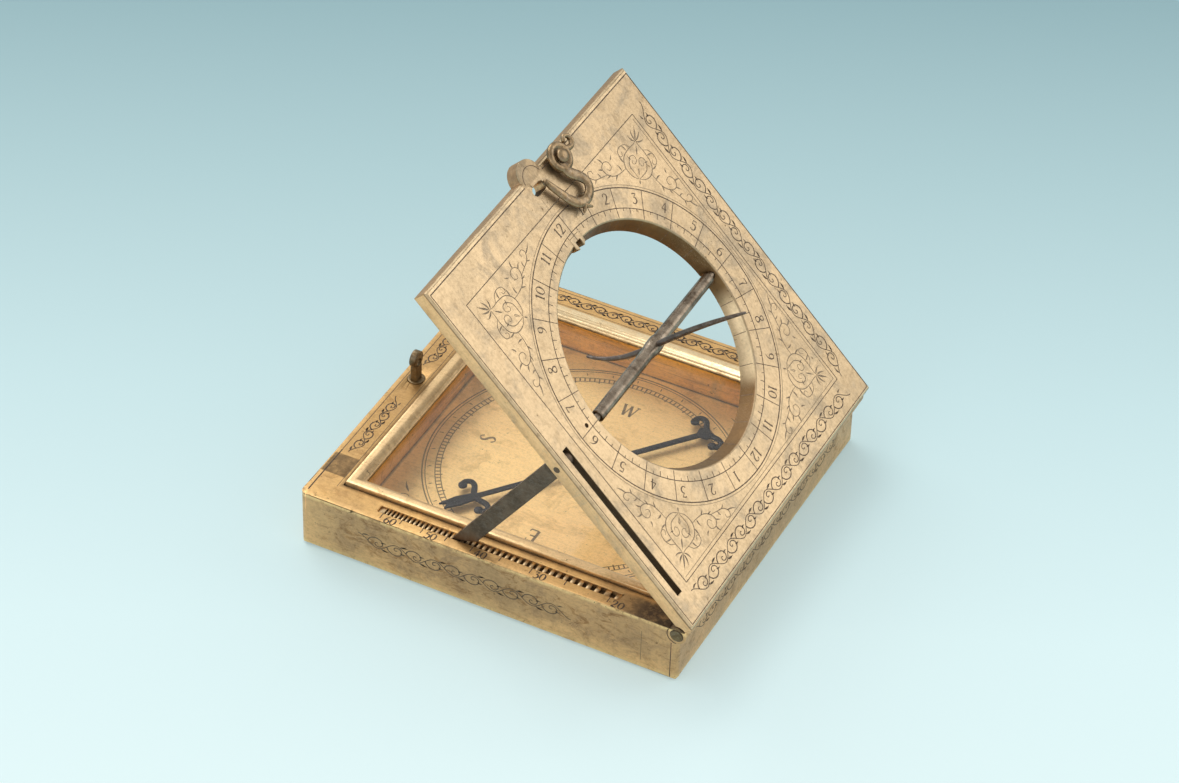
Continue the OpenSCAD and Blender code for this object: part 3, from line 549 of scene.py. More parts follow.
# painted shade: the rack is painted darker below its top, in its notches
gildedRack = simpleMetal("rack_gilding", {"Clean": (0.6, 0.45, 0.26)}, 0.02, shadeBelow=(9.52, 9.2))
brownFittings = simpleMetal("brown_fittings", fittingLook, 0.03)
lidFittings = simpleMetal("lid_fittings", fittingLook, 0.03, onLid=True)
hookBrass = simpleMetal("hook_brass", hookLook, 0.03, onLid=True)
barSteel = simpleMetal("bar_steel", steelLook, 0.03, onLid=True)
barWire = simpleMetal("wire_steel", wireLook, 0.02, onLid=True)
bluedSteel = simpleMetal("blued_steel", bluedLook, 0.02)
needleSteel = simpleMetal("needle_steel", needleLook, 0.01)
plateInk = engraved("plate_engraving", (0.085, 0.05, 0.028), (0.52, 0.39, 0.25))
caseInk = engraved("case_engraving", (0.05, 0.03, 0.018), (0.36, 0.25, 0.13))
cardInk = engraved("card_engraving", (0.13, 0.075, 0.03), (0.6, 0.42, 0.2))
paneGlass = clearGlass()
print("materials made")


# mesh helpers

def putMesh(name, points, faces, body, material, stands=(), smooth=True, sharp=40.0):
    mesh = bpy.data.meshes.new(name)
    mesh.from_pydata(np.asarray(points, float).tolist(), [], [list(map(int, f)) for f in faces])
    mesh.validate()
    if smooth:
        mesh.polygons.foreach_set("use_smooth", np.ones(len(mesh.polygons), bool))
        mesh.set_sharp_from_angle(angle=math.radians(sharp))
    mesh.materials.append(material)
    obj = bpy.data.objects.new(name, mesh)
    scene.collection.objects.link(obj)
    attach(obj, body)
    if stands:
        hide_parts(*stands)
    return obj


def gridFaces(rows, cols, looped=False):
    # quads between neighbouring rows of points, each row a ring; looped joins the last row to the first
    r = np.arange(rows if looped else rows - 1)[:, None]
    c = np.arange(cols)[None, :]
    n, up = (c + 1) % cols, (r + 1) % rows
    return np.stack([r * cols + c, r * cols + n, up * cols + n, up * cols + c], -1).reshape(-1, 4)


def capped(rows, cols):
    # the grid's quads with both open ends closed
    faces = gridFaces(rows, cols).tolist()
    return faces + [list(range(cols))[::-1], list(range((rows - 1) * cols, rows * cols))]


def smoothLine(points, steps):
    # Catmull-Rom curve through the points, each span cut into equal steps; every column is carried along
    p = np.asarray(points, float)
    p = np.vstack([2 * p[0] - p[1], p, 2 * p[-1] - p[-2]])
    u = (np.arange(steps) / steps)[None, :, None]
    a, b, c, d = (p[i:len(p) - 3 + i][:, None, :] for i in range(4))
    s = 0.5 * (2 * b + (c - a) * u + (2 * a - 5 * b + 4 * c - d) * u ** 2 + (3 * b - a - 3 * c + d) * u ** 3)
    return np.vstack([s.reshape(-1, p.shape[1]), p[-2]])


def headings(line):
    # the unit direction at each point of a line
    t = np.gradient(line, axis=0)
    return t / np.maximum(np.linalg.norm(t, axis=1, keepdims=True), 1e-12)


def flatRod(line, across, wide, high, sides=18):
    # a rod along a line that lies in one plane: each ring is an ellipse with the half axes wide, in the
    # plane, and high, along its normal; both ends are rounded by rings that shrink by a quarter circle
    t = headings(line)
    k = np.array([1.0, 0.94, 0.8, 0.6, 0.35, 0.08])
    shrink = np.sqrt(1 - k ** 2)
    shrink[0] = 0.06
    head = line[0] - t[0] * (k[:, None] * wide[0] * 0.999)
    tail = line[-1] + t[-1] * (k[::-1, None] * wide[-1] * 0.999)
    line = np.vstack([head, line[1:-1], tail])
    t = np.vstack([np.repeat(t[:1], len(k), 0), t[1:-1], np.repeat(t[-1:], len(k), 0)])
    wide, high = (np.concatenate([v[0] * shrink, v[1:-1], v[-1] * shrink[::-1]]) for v in (wide, high))
    across = np.asarray(across, float)
    side = np.cross(across, t)
    turn = np.arange(sides) * 2 * np.pi / sides
    ring = (line[:, None] + side[:, None] * (wide[:, None] * np.cos(turn))[..., None]
            + across * (high[:, None] * np.sin(turn))[..., None])
    return ring.reshape(-1, 3), capped(len(line), sides)


def turned(profile, start, axis, sides):
    # a profile of distance along and radius, turned about an axis from a start point
    along, radius = np.asarray(profile, float).T
    axis = np.asarray(axis, float)
    other = np.cross(axis, [0.0, 1.0, 0.0] if abs(axis[1]) < 0.9 else [1.0, 0.0, 0.0])
    other /= np.linalg.norm(other)
    third = np.cross(axis, other)
    turn = np.arange(sides) * 2 * np.pi / sides
    ring = (np.asarray(start, float) + axis * along[:, None, None] + radius[:, None, None]
            * (other * np.cos(turn)[None, :, None] + third * np.sin(turn)[None, :, None]))
    return ring.reshape(-1, 3), capped(len(profile), sides)


def joined(parts):
    # several pieces of points and faces as one
    points, faces, base = [], [], 0
    for p, f in parts:
        points.append(p)
        faces += [[i + base for i in face] for face in f]
        base += len(p)
    return np.vstack(points), faces


def dressed(node, bevel, material, body, segments=2, least=0.0, slices=()):
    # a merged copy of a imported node, cut through at planes so that no facet is long and thin; its true
    # edges that are longer than least get a small bevel
    name = node.replace("hinge_", "") + "_dressed"
    seam, sharp = 3e-7, math.radians(30.0)
    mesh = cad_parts[node].data.copy()
    mesh.name = name
    mesh.materials.clear()
    mesh.materials.append(material)
    bm = bmesh.new()
    bm.from_mesh(mesh)
    bmesh.ops.remove_doubles(bm, verts=bm.verts, dist=seam)
    for point, normal in slices:
        everything = bm.verts[:] + bm.edges[:] + bm.faces[:]
        bmesh.ops.bisect_plane(bm, geom=everything, dist=seam, plane_co=point, plane_no=normal)
    weight = bm.edges.layers.float.new("bevel_weight_edge")
    for e in bm.edges:
        turns = len(e.link_faces) == 2 and e.calc_face_angle(0) > sharp
        e[weight] = 1.0 if turns and e.calc_length() > least * mm else 0.0
        e.smooth = not turns or bool(e[weight])
    for f in bm.faces:
        f.smooth = True
        f.material_index = 0
    bm.to_mesh(mesh)
    bm.free()
    obj = bpy.data.objects.new(name, mesh)
    scene.collection.objects.link(obj)
    cut = obj.modifiers.new("edges", "BEVEL")
    cut.width = bevel * mm
    cut.segments = segments
    cut.limit_method = "WEIGHT"
    cut.use_clamp_overlap = False
    cut.miter_outer = "MITER_ARC"
    # wide faces keep their own flat normal and the narrow ones bend to it
    flat = obj.modifiers.new("flat faces", "WEIGHTED_NORMAL")
    flat.mode = "FACE_AREA"
    flat.weight = 70
    flat.keep_sharp = True
    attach(obj, body)
    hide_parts(node)


# engraving: thin strips that stand a hair over the surface they lie on

def strokeOn(origin, right, up, strokes, depth):
    # lays flat strokes of x, y and width on a plane; the origin is in metres, the rest in millimetres
    out = np.cross(right, up)
    laid = []
    for s in strokes:
        path = origin + (right * s[:, :1] + up * s[:, 1:2]) * mm
        t = headings(path)
        laid.append((path, np.cross(out, t), np.repeat(out[None], len(s), 0), s[:, 2] * mm / 2, depth))
    return laid


def engrave(name, laid, body, material, proud=0.012, sunk=0.02):
    # each strip has a rectangular section: its width to both sides, proud above and sunk below
    points, faces, depths, base = [], [], [], 0
    for path, side, out, half, depth in laid:
        w = half[:, None]
        ring = np.stack([path - side * w - out * sunk * mm, path + side * w - out * sunk * mm,
                         path + side * w + out * proud * mm, path - side * w + out * proud * mm], 1)
        n = len(path)
        points.append(ring.reshape(-1, 3))
        quads = gridFaces(n, 4) + base
        faces.append(quads[:, ::-1])
        ends = np.array([[0, 1, 2, 3], [4 * n - 1, 4 * n - 2, 4 * n - 3, 4 * n - 4]]) + base
        faces.append(ends)
        depths.append(np.full(4 * n, depth))
        base += 4 * n
    obj = putMesh(name, np.vstack(points), np.vstack(faces), body, material, smooth=False)
    mark = obj.data.attributes.new("inkDepth", "FLOAT", "POINT")
    mark.data.foreach_set("value", np.concatenate(depths).astype(np.float32))


def straight(x0, y0, x1, y1, width=0.12):
    return np.array([[x0, y0, width], [x1, y1, width]])


def spoke(degrees, r0, r1, width):
    # a straight cut along a radius
    c, s = math.cos(math.radians(degrees)), math.sin(math.radians(degrees))
    return straight(c * r0, s * r0, c * r1, s * r1, width)


def arc(cx, cy, r, start, end, width, steps):
    t = np.radians(np.linspace(start, end, steps))
    return np.stack([cx + r * np.cos(t), cy + r * np.sin(t), np.full(steps, width)], 1)


def circle(r, width, steps):
    return arc(0, 0, r, 0, 360, width, steps)


# figures drawn in a box one unit high: x, y and the width of the cut
glyphs = {
    "0": [[(.3, 1, .05), (.06, .82, .1), (0, .5, .14), (.06, .18, .1), (.3, 0, .05), (.54, .18, .1),
           (.6, .5, .14), (.54, .82, .1), (.3, 1, .05)]],
    "1": [[(.2, 0, .13), (.2, .5, .13), (.2, 1, .13)], [(.04, .01, .06), (.36, .01, .06)],
          [(.03, .84, .04), (.2, .99, .09)]],
    "2": [[(.03, .74, .1), (.1, .93, .08), (.3, 1, .06), (.53, .86, .11), (.5, .6, .13), (.28, .3, .1),
           (.03, .03, .07)], [(.03, .04, .09), (.32, .05, .11), (.58, .03, .07), (.63, .16, .04)]],
    "3": [[(.05, .86, .05), (.1, .97, .09), (.3, .97, .08), (.52, .97, .08)],
          [(.52, .97, .05), (.24, .6, .06)],
          [(.22, .6, .05), (.46, .55, .1), (.58, .3, .14), (.44, .06, .1), (.2, 0, .07), (.03, .1, .11)]],
    "4": [[(.43, 0, .12), (.43, .5, .12), (.43, 1, .1)], [(.43, 1, .05), (0, .33, .07)],
          [(0, .32, .08), (.62, .32, .08)]],
    "5": [[(.12, .97, .08), (.52, 1, .1)], [(.12, .97, .06), (.09, .58, .07)],
          [(.09, .57, .06), (.3, .64, .08), (.54, .5, .13), (.53, .18, .13), (.34, .01, .08), (.1, .03, .07),
           (.02, .13, .11)]],
    "6": [[(.52, .99, .04), (.2, .8, .09), (.03, .45, .13), (.08, .12, .12), (.3, 0, .06), (.52, .12, .11),
           (.54, .4, .12), (.32, .56, .06), (.08, .42, .06)]],
    "7": [[(.02, .84, .05), (.07, .97, .09), (.3, .97, .08), (.58, .97, .09)],
          [(.58, .97, .05), (.36, .55, .09), (.22, 0, .13)]],
    "8": [[(.3, .55, .1), (.08, .7, .08), (.1, .92, .09), (.3, 1, .05), (.5, .92, .08), (.5, .72, .08),
           (.3, .54, .12), (.04, .34, .09), (.06, .08, .1), (.3, 0, .06), (.54, .08, .1), (.56, .32, .12),
           (.3, .55, .1)]],
    "9": [[(.1, .01, .04), (.42, .2, .09), (.56, .56, .13), (.5, .88, .11), (.3, 1, .06), (.08, .86, .11),
           (.08, .6, .11), (.28, .45, .06), (.52, .58, .06)]],
    "N": [[(0, 0, .08), (0, 1, .08)], [(0, 1, .13), (.7, 0, .13)], [(.7, 0, .08), (.7, 1, .08)],
          [(-.12, 1, .05), (.1, 1, .05)], [(.58, 1, .05), (.84, 1, .05)], [(-.12, 0, .05), (.12, 0, .05)]],
    "E": [[(0, 0, .13), (0, 1, .13)], [(0, 1, .07), (.5, 1, .07)], [(0, .52, .07), (.4, .52, .07)],
          [(0, 0, .07), (.54, 0, .07)], [(.5, 1, .05), (.5, .84, .05)], [(.54, 0, .05), (.56, .17, .05)]],
    "S": [[(.5, .82, .07), (.3, 1, .06), (.06, .82, .1), (.14, .6, .12), (.4, .42, .13), (.52, .2, .11),
           (.28, 0, .06), (.02, .17, .08)]],
    "W": [[(0, 1, .12), (.26, 0, .12)], [(.26, 0, .06), (.48, 1, .06)], [(.48, 1, .12), (.74, 0, .12)],
          [(.74, 0, .06), (.98, 1, .06)], [(-.12, 1, .05), (.14, 1, .05)], [(.84, 1, .05), (1.1, 1, .05)]],
}


def figures(text, height, x, y, turn=0.0, boldness=1.0):
    # a short run of figures centred on x, y and turned, each a set of smooth strokes
    wide, gap = 0.92, 0.22
    advance, strokes = 0.0, []
    for ch in text:
        box = max(p[0] for s in glyphs[ch] for p in s)
        for s in glyphs[ch]:
            line = smoothLine(s, 5) if len(s) > 2 else np.asarray(s, float)
            strokes.append(line + [advance, -0.5, 0])
        advance += box + gap
    c, s = math.cos(turn), math.sin(turn)
    placed = []
    for line in strokes:
        px = (line[:, 0] - (advance - gap) / 2) * height * wide
        py = line[:, 1] * height
        placed.append(np.stack([x + px * c - py * s, y + px * s + py * c,
                                line[:, 2] * height * boldness], 1))
    return placed


def spiral(cx, cy, r, start, turns, width):
    # a scroll that winds in: the radius falls evenly from r to its last share
    u, last = np.linspace(0, 1, 22), 0.16
    t = start + turns * 2 * np.pi * u
    rad = r * (1 - (1 - last) * u)
    return np.stack([cx + rad * np.cos(t), cy + rad * np.sin(t), width * (1 - 0.35 * u)], 1)


def leaf(x, y, length, turn, wide, curl=0.0):
    # one tapering cut, widest a third of the way, that bends evenly by its curl
    u = np.linspace(0, 1, 9)
    a = turn + curl * u
    dx, dy = (np.concatenate([[0], np.cumsum(f(a[:-1]))]) * length * u[1] for f in (np.cos, np.sin))
    w = wide * np.clip(np.sin(np.pi * u ** 0.7), 0.12, 1)
    return np.stack([x + dx, y + dy, w], 1)


def runningVine(length, height, pitch, weight, x=0.0, y=0.0):
    # a cosine stem from x, y along x; in each hollow a branch leaves the stem and winds in one and a half
    # turns, its radius falling with the power 1.5 of the share still to go
    n = max(2, int(round(length / pitch)))
    step = length / n
    amp = 0.37 * height
    stem = np.linspace(0, length, n * 12 + 1)
    strokes = [np.stack([stem, amp * np.cos(np.pi * stem / step), np.full(len(stem), 0.12 * weight)], 1)]
    # each leaf: its place along and off the stem, length, lean, width and curl
    leaves = ((-0.8, 0.86 * amp, 0.42, 0.55, 0.25, -0.9), (0.2, 0.1 * height, 0.3, 0.7, 0.22, -1.3),
              (0.3, -0.9 * amp, 0.3, -0.5, 0.2, 0.6))
    u = np.linspace(0, 1, 30)
    rad = step * (0.47 * (1 - u) ** 1.5 + 0.03)
    squash = 0.42 * height / (0.37 * step)
    turn = math.pi * (1 - 2.9 * u)
    for i in range(1, n):
        cx, up = i * step, 1 if i % 2 else -1
        strokes.append(np.stack([cx + rad * np.cos(turn), up * squash * rad * np.sin(turn),
                                 (0.17 - 0.06 * u) * weight], 1))
        for along, off, long, lean, wide, curl in leaves:
            strokes.append(leaf(cx + along * step, up * off, long * step, up * lean, wide * weight,
                                up * curl))
    return [s + [x, y, 0] for s in strokes]


def cornerOrnament():
    # half of a leafy plant in u outward along the diagonal and v across it, and its mirror half
    half = [
        [(24.9, 0, .06), (25.1, 1.3, .12), (26.2, 2.5, .15), (27.8, 2.6, .14), (29.2, 1.6, .12),
         (30.2, .5, .1), (30.9, 0, .06)],
        [(25.0, .1, .06), (25.6, .75, .1), (26.6, 1.6, .13), (27.9, 1.55, .13), (28.4, .8, .11),
         (27.9, .25, .1), (27.2, .45, .09), (27.1, 1.0, .08), (27.6, 1.05, .06)],
        [(26.1, 2.45, .07), (25.2, 3.5, .12), (24.45, 4.8, .14), (24.4, 6.2, .14), (25.1, 7.1, .13),
         (26.1, 6.8, .12), (26.4, 5.9, .11), (25.8, 5.3, .1), (25.15, 5.6, .09), (25.3, 6.2, .07)],
        [(24.4, 6.1, .07), (23.75, 7.4, .12), (23.15, 8.6, .13), (23.3, 9.7, .12), (24.0, 9.95, .11),
         (24.35, 9.3, .1), (23.95, 8.95, .07)],
        [(29.6, 1.2, .07), (29.75, 2.3, .11), (29.2, 3.3, .12), (28.3, 3.75, .11), (27.7, 3.3, .1),
         (28.0, 2.85, .08), (28.5, 3.0, .06)],
        [(25.5, 0, .06), (26.2, .12, .1), (26.5, 0, .08)],
    ]
    strokes = []
    for s in half:
        line = smoothLine(s, 5)
        strokes += [line, line * [1, -1, 1]]
    for sign in (1, -1):
        for u, v, long, turn, wide, curl in (
                (30.9, .1, 1.7, .75, .26, -.7), (30.7, .2, 1.5, 1.5, .24, -.9),
                (28.9, 2.0, 1.2, .8, .22, .7),
                (26.9, 2.7, 1.3, 1.0, .24, -.5), (25.5, 3.3, 1.2, .5, .24, .7),
                (24.7, 4.2, 1.0, 2.5, .22, .6),
                (24.5, 5.6, 1.0, 2.6, .2, -.6), (25.9, 6.9, 1.2, .7, .24, .9), (24.9, 7.0, 1.0, 1.5, .22, .5),
                (23.7, 7.5, .9, .6, .2, .8), (23.3, 9.4, 1.9, 2.1, .22, -.5), (23.2, 8.4, .8, 2.6, .18, .4),
                (26.8, 5.4, .9, -.6, .2, .8), (27.7, 1.3, .8, 1.4, .18, -.8)):
            strokes.append(leaf(u, sign * v, long, sign * turn, wide, sign * curl))
    strokes += [leaf(30.9, 0, 2.2, 0, .3), leaf(28.6, 0, 1.6, 0, .24), leaf(24.1, 0, .7, 0, .24)]
    return strokes


plateLines = dict(border=(0.42, 58.9, -28.8, 28.94), tabHalf=2.55, tabArc=(2.05, 2.0), square=24.7,
                  outer=23.2, outerFaint=23.62, inner=20.15, hourFrom=18.72, figureHeight=1.6,
                  figureR=21.72, figureLean=(4.0, 4.4), farBandY=26.7, hingeBandA=2.7,
                  band=(50.0, 2.3, 3.0, 1.1), wallFrom=2.95, wallTo=1.15)


def plateEngraving():
    s, mid, face, tabY = plateLines, plate["middle"], plate["face"], plate["tabY"]
    origin = onPlate(mid, 0, face)
    right, up, square = direction(0, 1, 0), direction(1, 0, 0), direction(0, 0, 1)
    a0, a1, y0, y1 = s["border"]
    a0, a1, tab, q = a0 - mid, a1 - mid, s["tabHalf"], s["square"]
    wide, high = s["tabArc"]
    t = np.radians(np.linspace(8, 172, 24))
    deep = [straight(y0, a0, y1, a0, .13), straight(y0, a0, y0, a1, .13), straight(y1, a0, y1, a1, .15),
            straight(y0, a1, tabY - tab, a1, .17), straight(tabY + tab, a1, y1, a1, .17),
            np.stack([tabY + wide * np.cos(t), a1 + high * np.sin(t) - 0.1, np.full(len(t), .1)], 1),
            circle(s["outer"], .17, 181), circle(s["inner"], .13, 181)]
    plain = [straight(-q, -q, q, -q), straight(q, -q, q, q), straight(q, q, -q, q, .13),
             straight(-q, q, -q, -q, .13)]
    q1, q2 = q - .5, q - .55
    faint = [straight(-q1, -q2, q2, -q2, .09), straight(q2, -q2, q2, q1, .09),
             circle(s["outerFaint"], .08, 181)]
    for h in range(24):
        plain.append(spoke(90 - 15 * h, s["hourFrom"], s["outer"], .12))
        for part, length, w in ((0.25, .45, .1), (0.5, .8, .12), (0.75, .45, .1)):
            plain.append(spoke(90 - 15 * (h + part), s["inner"] - length, s["inner"], w))
        number = str((h - 1) % 12 + 1)
        lean = math.radians(15 * h - s["figureLean"][len(number) - 1])
        plain += figures(number, s["figureHeight"], math.sin(lean) * s["figureR"],
                         math.cos(lean) * s["figureR"], -lean, boldness=1.1)
    laid = []
    for lines, depth in ((deep, 1.0), (plain, 0.9), (faint, 0.45)):
        laid += strokeOn(origin, right, up, lines, depth)
    for k in range(4):
        t = math.radians(45 + 90 * k)
        out = right * math.cos(t) + up * math.sin(t)
        over = up * math.cos(t) - right * math.sin(t)
        laid += strokeOn(origin, out, over, cornerOrnament(), 0.66)
    # the two bands beside the hinge and on the far side carry a running plant
    band = runningVine(*s["band"], x=-s["band"][0] / 2)
    laid += strokeOn(onPlate(mid, s["farBandY"], face), up, -right, band, 0.95)
    laid += strokeOn(onPlate(s["hingeBandA"], 0, face), right, up, band, 0.95)
    # hour lines run on down the wall of the hole, which narrows a little towards the underside
    c = np.linspace(s["wallFrom"], s["wallTo"], 6)
    r = plate["holeR"] - plate["wallSlope"] * (plate["wallTop"] - c)
    for h in range(24):
        phi = math.radians(15 * h)
        out = square * plate["wallSlope"] - right * math.sin(phi) - up * math.cos(phi)
        out /= np.linalg.norm(out)
        path = onPlate(mid + math.cos(phi) * r, math.sin(phi) * r, c)
        side = np.cross(out, headings(path)[0])
        laid.append((path, np.repeat(side[None], 6, 0), np.repeat(out[None], 6, 0),
                     np.full(6, .05 * mm), 0.9))
    engrave("plate_engraving", laid, "plate", plateInk, sunk=0.03)


caseLines = dict(markFrom=-27.75, markTo=(-28.85, -28.65), figureHeight=1.3, figureX=1.6, figureY=-28.7,
                 outer=(-29.2, 28.7, 26.5), bold=(-28.3, -18.6), inner=(-25.9, 25.9, 24.0),
                 catchX=-27.6, catchBands=((14.0, -18.6), (20.0, 3.5)), farBand=(46.0, -22.0, 27.3),
                 frontPlant=(34.0, -20.5, 5.3), sidePlant=(48.0, -24.0, 5.0), knuckleR=(1.47, 0.93))
rackLink = dict(pivotA=29.2, pivotC=1.92, reach=27.4957, tipZ=9.55)


def tipX(latitude):
    # where the prop's tip meets the rack when the plate is set to a latitude
    t, s = math.radians(90 - latitude), rackLink
    px = plate["hingeX"] - s["pivotA"] * math.cos(t) + s["pivotC"] * math.sin(t)
    pz = plate["hingeZ"] + s["pivotA"] * math.sin(t) + s["pivotC"] * math.cos(t)
    return px - math.sqrt(s["reach"] ** 2 - (pz - s["tipZ"]) ** 2)


def caseEngraving():
    s = caseLines
    top = np.array([0, 0, case["top"]]) * mm
    ex, ey, ez = np.eye(3)
    marks, numbers = [], []
    for latitude in range(20, 61, 5):
        x = tipX(latitude)
        marks.append(straight(x, s["markTo"][latitude % 10 // 5], x, s["markFrom"], .14))
        if latitude % 10 == 0:
            numbers += figures(str(latitude), s["figureHeight"], x + s["figureX"], s["figureY"],
                               boldness=1.5)
    left, far, right = s["outer"]
    low, high = s["bold"]
    marks.append(straight(left, low, left, high, .2))
    faint = [straight(left, high, left, far, .12), straight(left, far, right, far, .12)]
    left, far, right = s["inner"]
    faint += [straight(left, left, left, far, .09), straight(left, far, right, far, .09)]
    laid = strokeOn(top, ex, ey, marks + numbers, 1.0) + strokeOn(top, ex, ey, faint, 0.7)
    for length, start in s["catchBands"]:
        band = runningVine(length, 1.7, 2.2, 1.2, start)
        laid += strokeOn(top + ex * s["catchX"] * mm, ey, -ex, band, 0.95)
    length, x, y = s["farBand"]
    laid += strokeOn(top, ex, ey, runningVine(length, 1.7, 2.2, 1.35, x, y), 0.95)
    # front and right faces: a running plant in the middle
    front, side = -ey * case["halfY"] * mm, ex * case["halfX"] * mm
    for origin, along, name, depth in ((front, ex, "frontPlant", 0.8), (side, ey, "sidePlant", 0.75)):
        length, x, y = s[name]
        laid += strokeOn(origin, along, ez, runningVine(length, 2.3, 3.0, 1.1, x, y), depth)
    # seams where the corner posts and the knuckle meet the faces
    x, z = plate["hingeX"], plate["hingeZ"]
    outerR, innerR = s["knuckleR"]
    seams = [straight(28.95, .7, 29.0, 7.2, .12), arc(x, z, outerR, 150, 270, .1, 20),
             arc(x, z, innerR, 0, 360, .17, 32)]
    laid += strokeOn(front, ex, ez, [straight(24.4, 1.9, 24.45, 7.3, .08)], 0.45)
    laid += strokeOn(front, ex, ez, seams, 0.95)
    engrave("case_engraving", laid, "case", caseInk)


cardLines = dict(rings=((23.2, .2), (22.75, .14), (21.3, .15), (20.5, .15)), tickFrom=(20.5, 20.2),
                 tickTo=21.3, letterR=15.5, letterHeight=2.4, leafR=21.8)


def cardEngraving():
    s = cardLines
    top = np.array([0, 0, case["cardZ"]]) * mm
    ex, ey = np.eye(3)[:2]
    rings = [circle(r, width, 145) for r, width in s["rings"]]
    marks = [spoke(d, s["tickFrom"][d % 10 == 0], s["tickTo"], .2) for d in range(0, 360, 2)]
    for letter, x, y, turn in (("S", -1, 0, 90), ("N", 1, 0, -90), ("E", 0, -1, 180), ("W", 0, 1, 0)):
        marks += figures(letter, s["letterHeight"], x * s["letterR"], y * s["letterR"], math.radians(turn),
                         boldness=1.4)
    for k in range(4):
        turn = math.radians(45 + 90 * k)
        c, n = math.cos(turn), math.sin(turn)
        for sign in (1, -1):
            for line in (spiral(26.2, sign * 1.9, 1.5, -sign * 1.6, sign * 1.2, .14),
                         leaf(25.2, sign * 3.0, 2.4, sign * 1.5, .3, sign * .5),
                         leaf(27.5, sign * .3, 2.2, sign * .5, .3, -sign * .4)):
                u, v, width = line.T
                marks.append(np.stack([u * c - v * n, u * n + v * c, width], 1))
    for k in range(36):
        t = math.radians(10 * k + 5)
        marks.append(leaf(math.cos(t) * s["leafR"], math.sin(t) * s["leafR"], .75, t, .16, .5))
    laid = strokeOn(top, ex, ey, rings, 0.8) + strokeOn(top, ex, ey, marks, 0.9)
    engrave("card_engraving", laid, "case", cardInk)


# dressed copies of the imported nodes, with their bevels in millimetres

caseSlices = [((p * mm, 0, 0), (1, 0, 0)) for p in (-29, -28, -20, -12, -4, 4, 12, 20, 27, 28)]
caseSlices += [((0, p * mm, 0), (0, 1, 0)) for p in (-28.4, -27, -20, -12, -4, 4, 12, 20, 27, 28.4)]
plateSlices = [(onPlate(p, 0, 0), direction(1, 0, 0)) for p in (2, 10, 18, 26, 33, 41, 49, 57)]
plateSlices += [(onPlate(0, p, 0), (0, 1, 0)) for p in (-28, -24, -16, -8, 0.5, 8, 16, 24, 28)]


def dressNodes():
    dressed("case_box", 0.13, gildedCase, "case", least=0.15, slices=caseSlices)
    dressed("hour_plate", 0.07, gildedPlate, "plate", least=0.3, slices=plateSlices)
    for node, bevel in (("plate_barrel", 0.08), ("gnomon_rest", 0.07), ("journal_caps", 0.06)):
        dressed(node, bevel, gildedPlate, "plate")
    dressed("latitude_rack", 0.03, gildedRack, "case", segments=1)
    for node in ("hinge_knuckle_front", "hinge_knuckle_rear"):
        dressed(node, 0.08, gildedCase, "case")
    dressed("prop_arm", 0.09, bluedSteel, "prop")
    dressed("needle", 0.06, needleSteel, "needle")
    dressed("needle_cap", 0.1, brownFittings, "needle")
    dressed("catch_staple", 0.1, brownFittings, "case", least=0.1)
    dressed("staple_collar", 0.05, brownFittings, "case")
    dressed("base_plate", 0.1, gildedCase, "case", least=0.5)
    dressed("hook_washer", 0.06, lidFittings, "plate")


keptNodes = {"base_rivets": brownFittings, "compass_plate": gildedCard, "glass_pane": paneGlass,
             "needle_pivot": brownFittings, "hinge_pin": brownFittings, "keeper_pin": bluedSteel,
             "prop_pin": bluedSteel}


def finishKeptNodes():
    for name, material in keptNodes.items():
        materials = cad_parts[name].data.materials
        materials.clear()
        materials.append(material)


# the bezel's section: the distance in from its outer face, and the height
bezelSection = [
    (0, 9.32), (0, 10.3), (.03, 10.39), (.1, 10.45), (.2, 10.48), (.5, 10.49), (.9, 10.5), (1.1, 10.5),
    (1.2, 10.46), (1.26, 10.38), (1.32, 10.36), (1.4, 10.33), (1.6, 10.19), (1.8, 10.02), (1.95, 9.87),
    (2.0, 9.84), (2.08, 9.83), (2.15, 9.77), (2.19, 9.66), (2.2, 9.5), (2.2, 9.32)]


def makeBezel():
    # a moulded section carried round a rectangle with mitred corners
    inward, height = np.array(bezelSection).T
    half = np.array([case["bezelX"], case["bezelY"]])
    corner = np.array([(-1, -1), (1, -1), (1, 1), (-1, 1)])
    xy = corner[None] * (half[None, None] - inward[:, None, None])
    z = np.repeat(height[:, None], 4, 1)[..., None]
    points = np.concatenate([xy, z], -1).reshape(-1, 3) * mm
    putMesh("bezel_moulding", points, gridFaces(len(inward), 4, looped=True), "case", gildedMoulding,
            ("bezel",), sharp=50)


gnomonSizes = dict(
    barR=1.0, taper=0.05, boss=1.22, bossHalf=1.5, shoulder=17.3, shoulderR=0.82, end=21.8, journalR=0.6,
    chamfer=0.1, groove=(21.45, 20.55), grooveR=0.35, flatHalf=2.2, flatBy=0.1,
    # the wire, from the tip above the face to the one below: how far it lies towards the hinge and square to
    # the plate from the bar's axis, and its radius
    wire=[(1.35, 17.62, .2), (.95, 14.6, .3), (.53, 11.0, .38), (.2, 7.0, .43), (.05, 3.5, .45),
          (0, 1.3, .45), (0, -1.3, .45), (-.12, -3.2, .44), (-.38, -5.6, .4), (-1.05, -8.2, .34),
          (-1.95, -10.2, .27), (-2.86, -11.6, .19)])


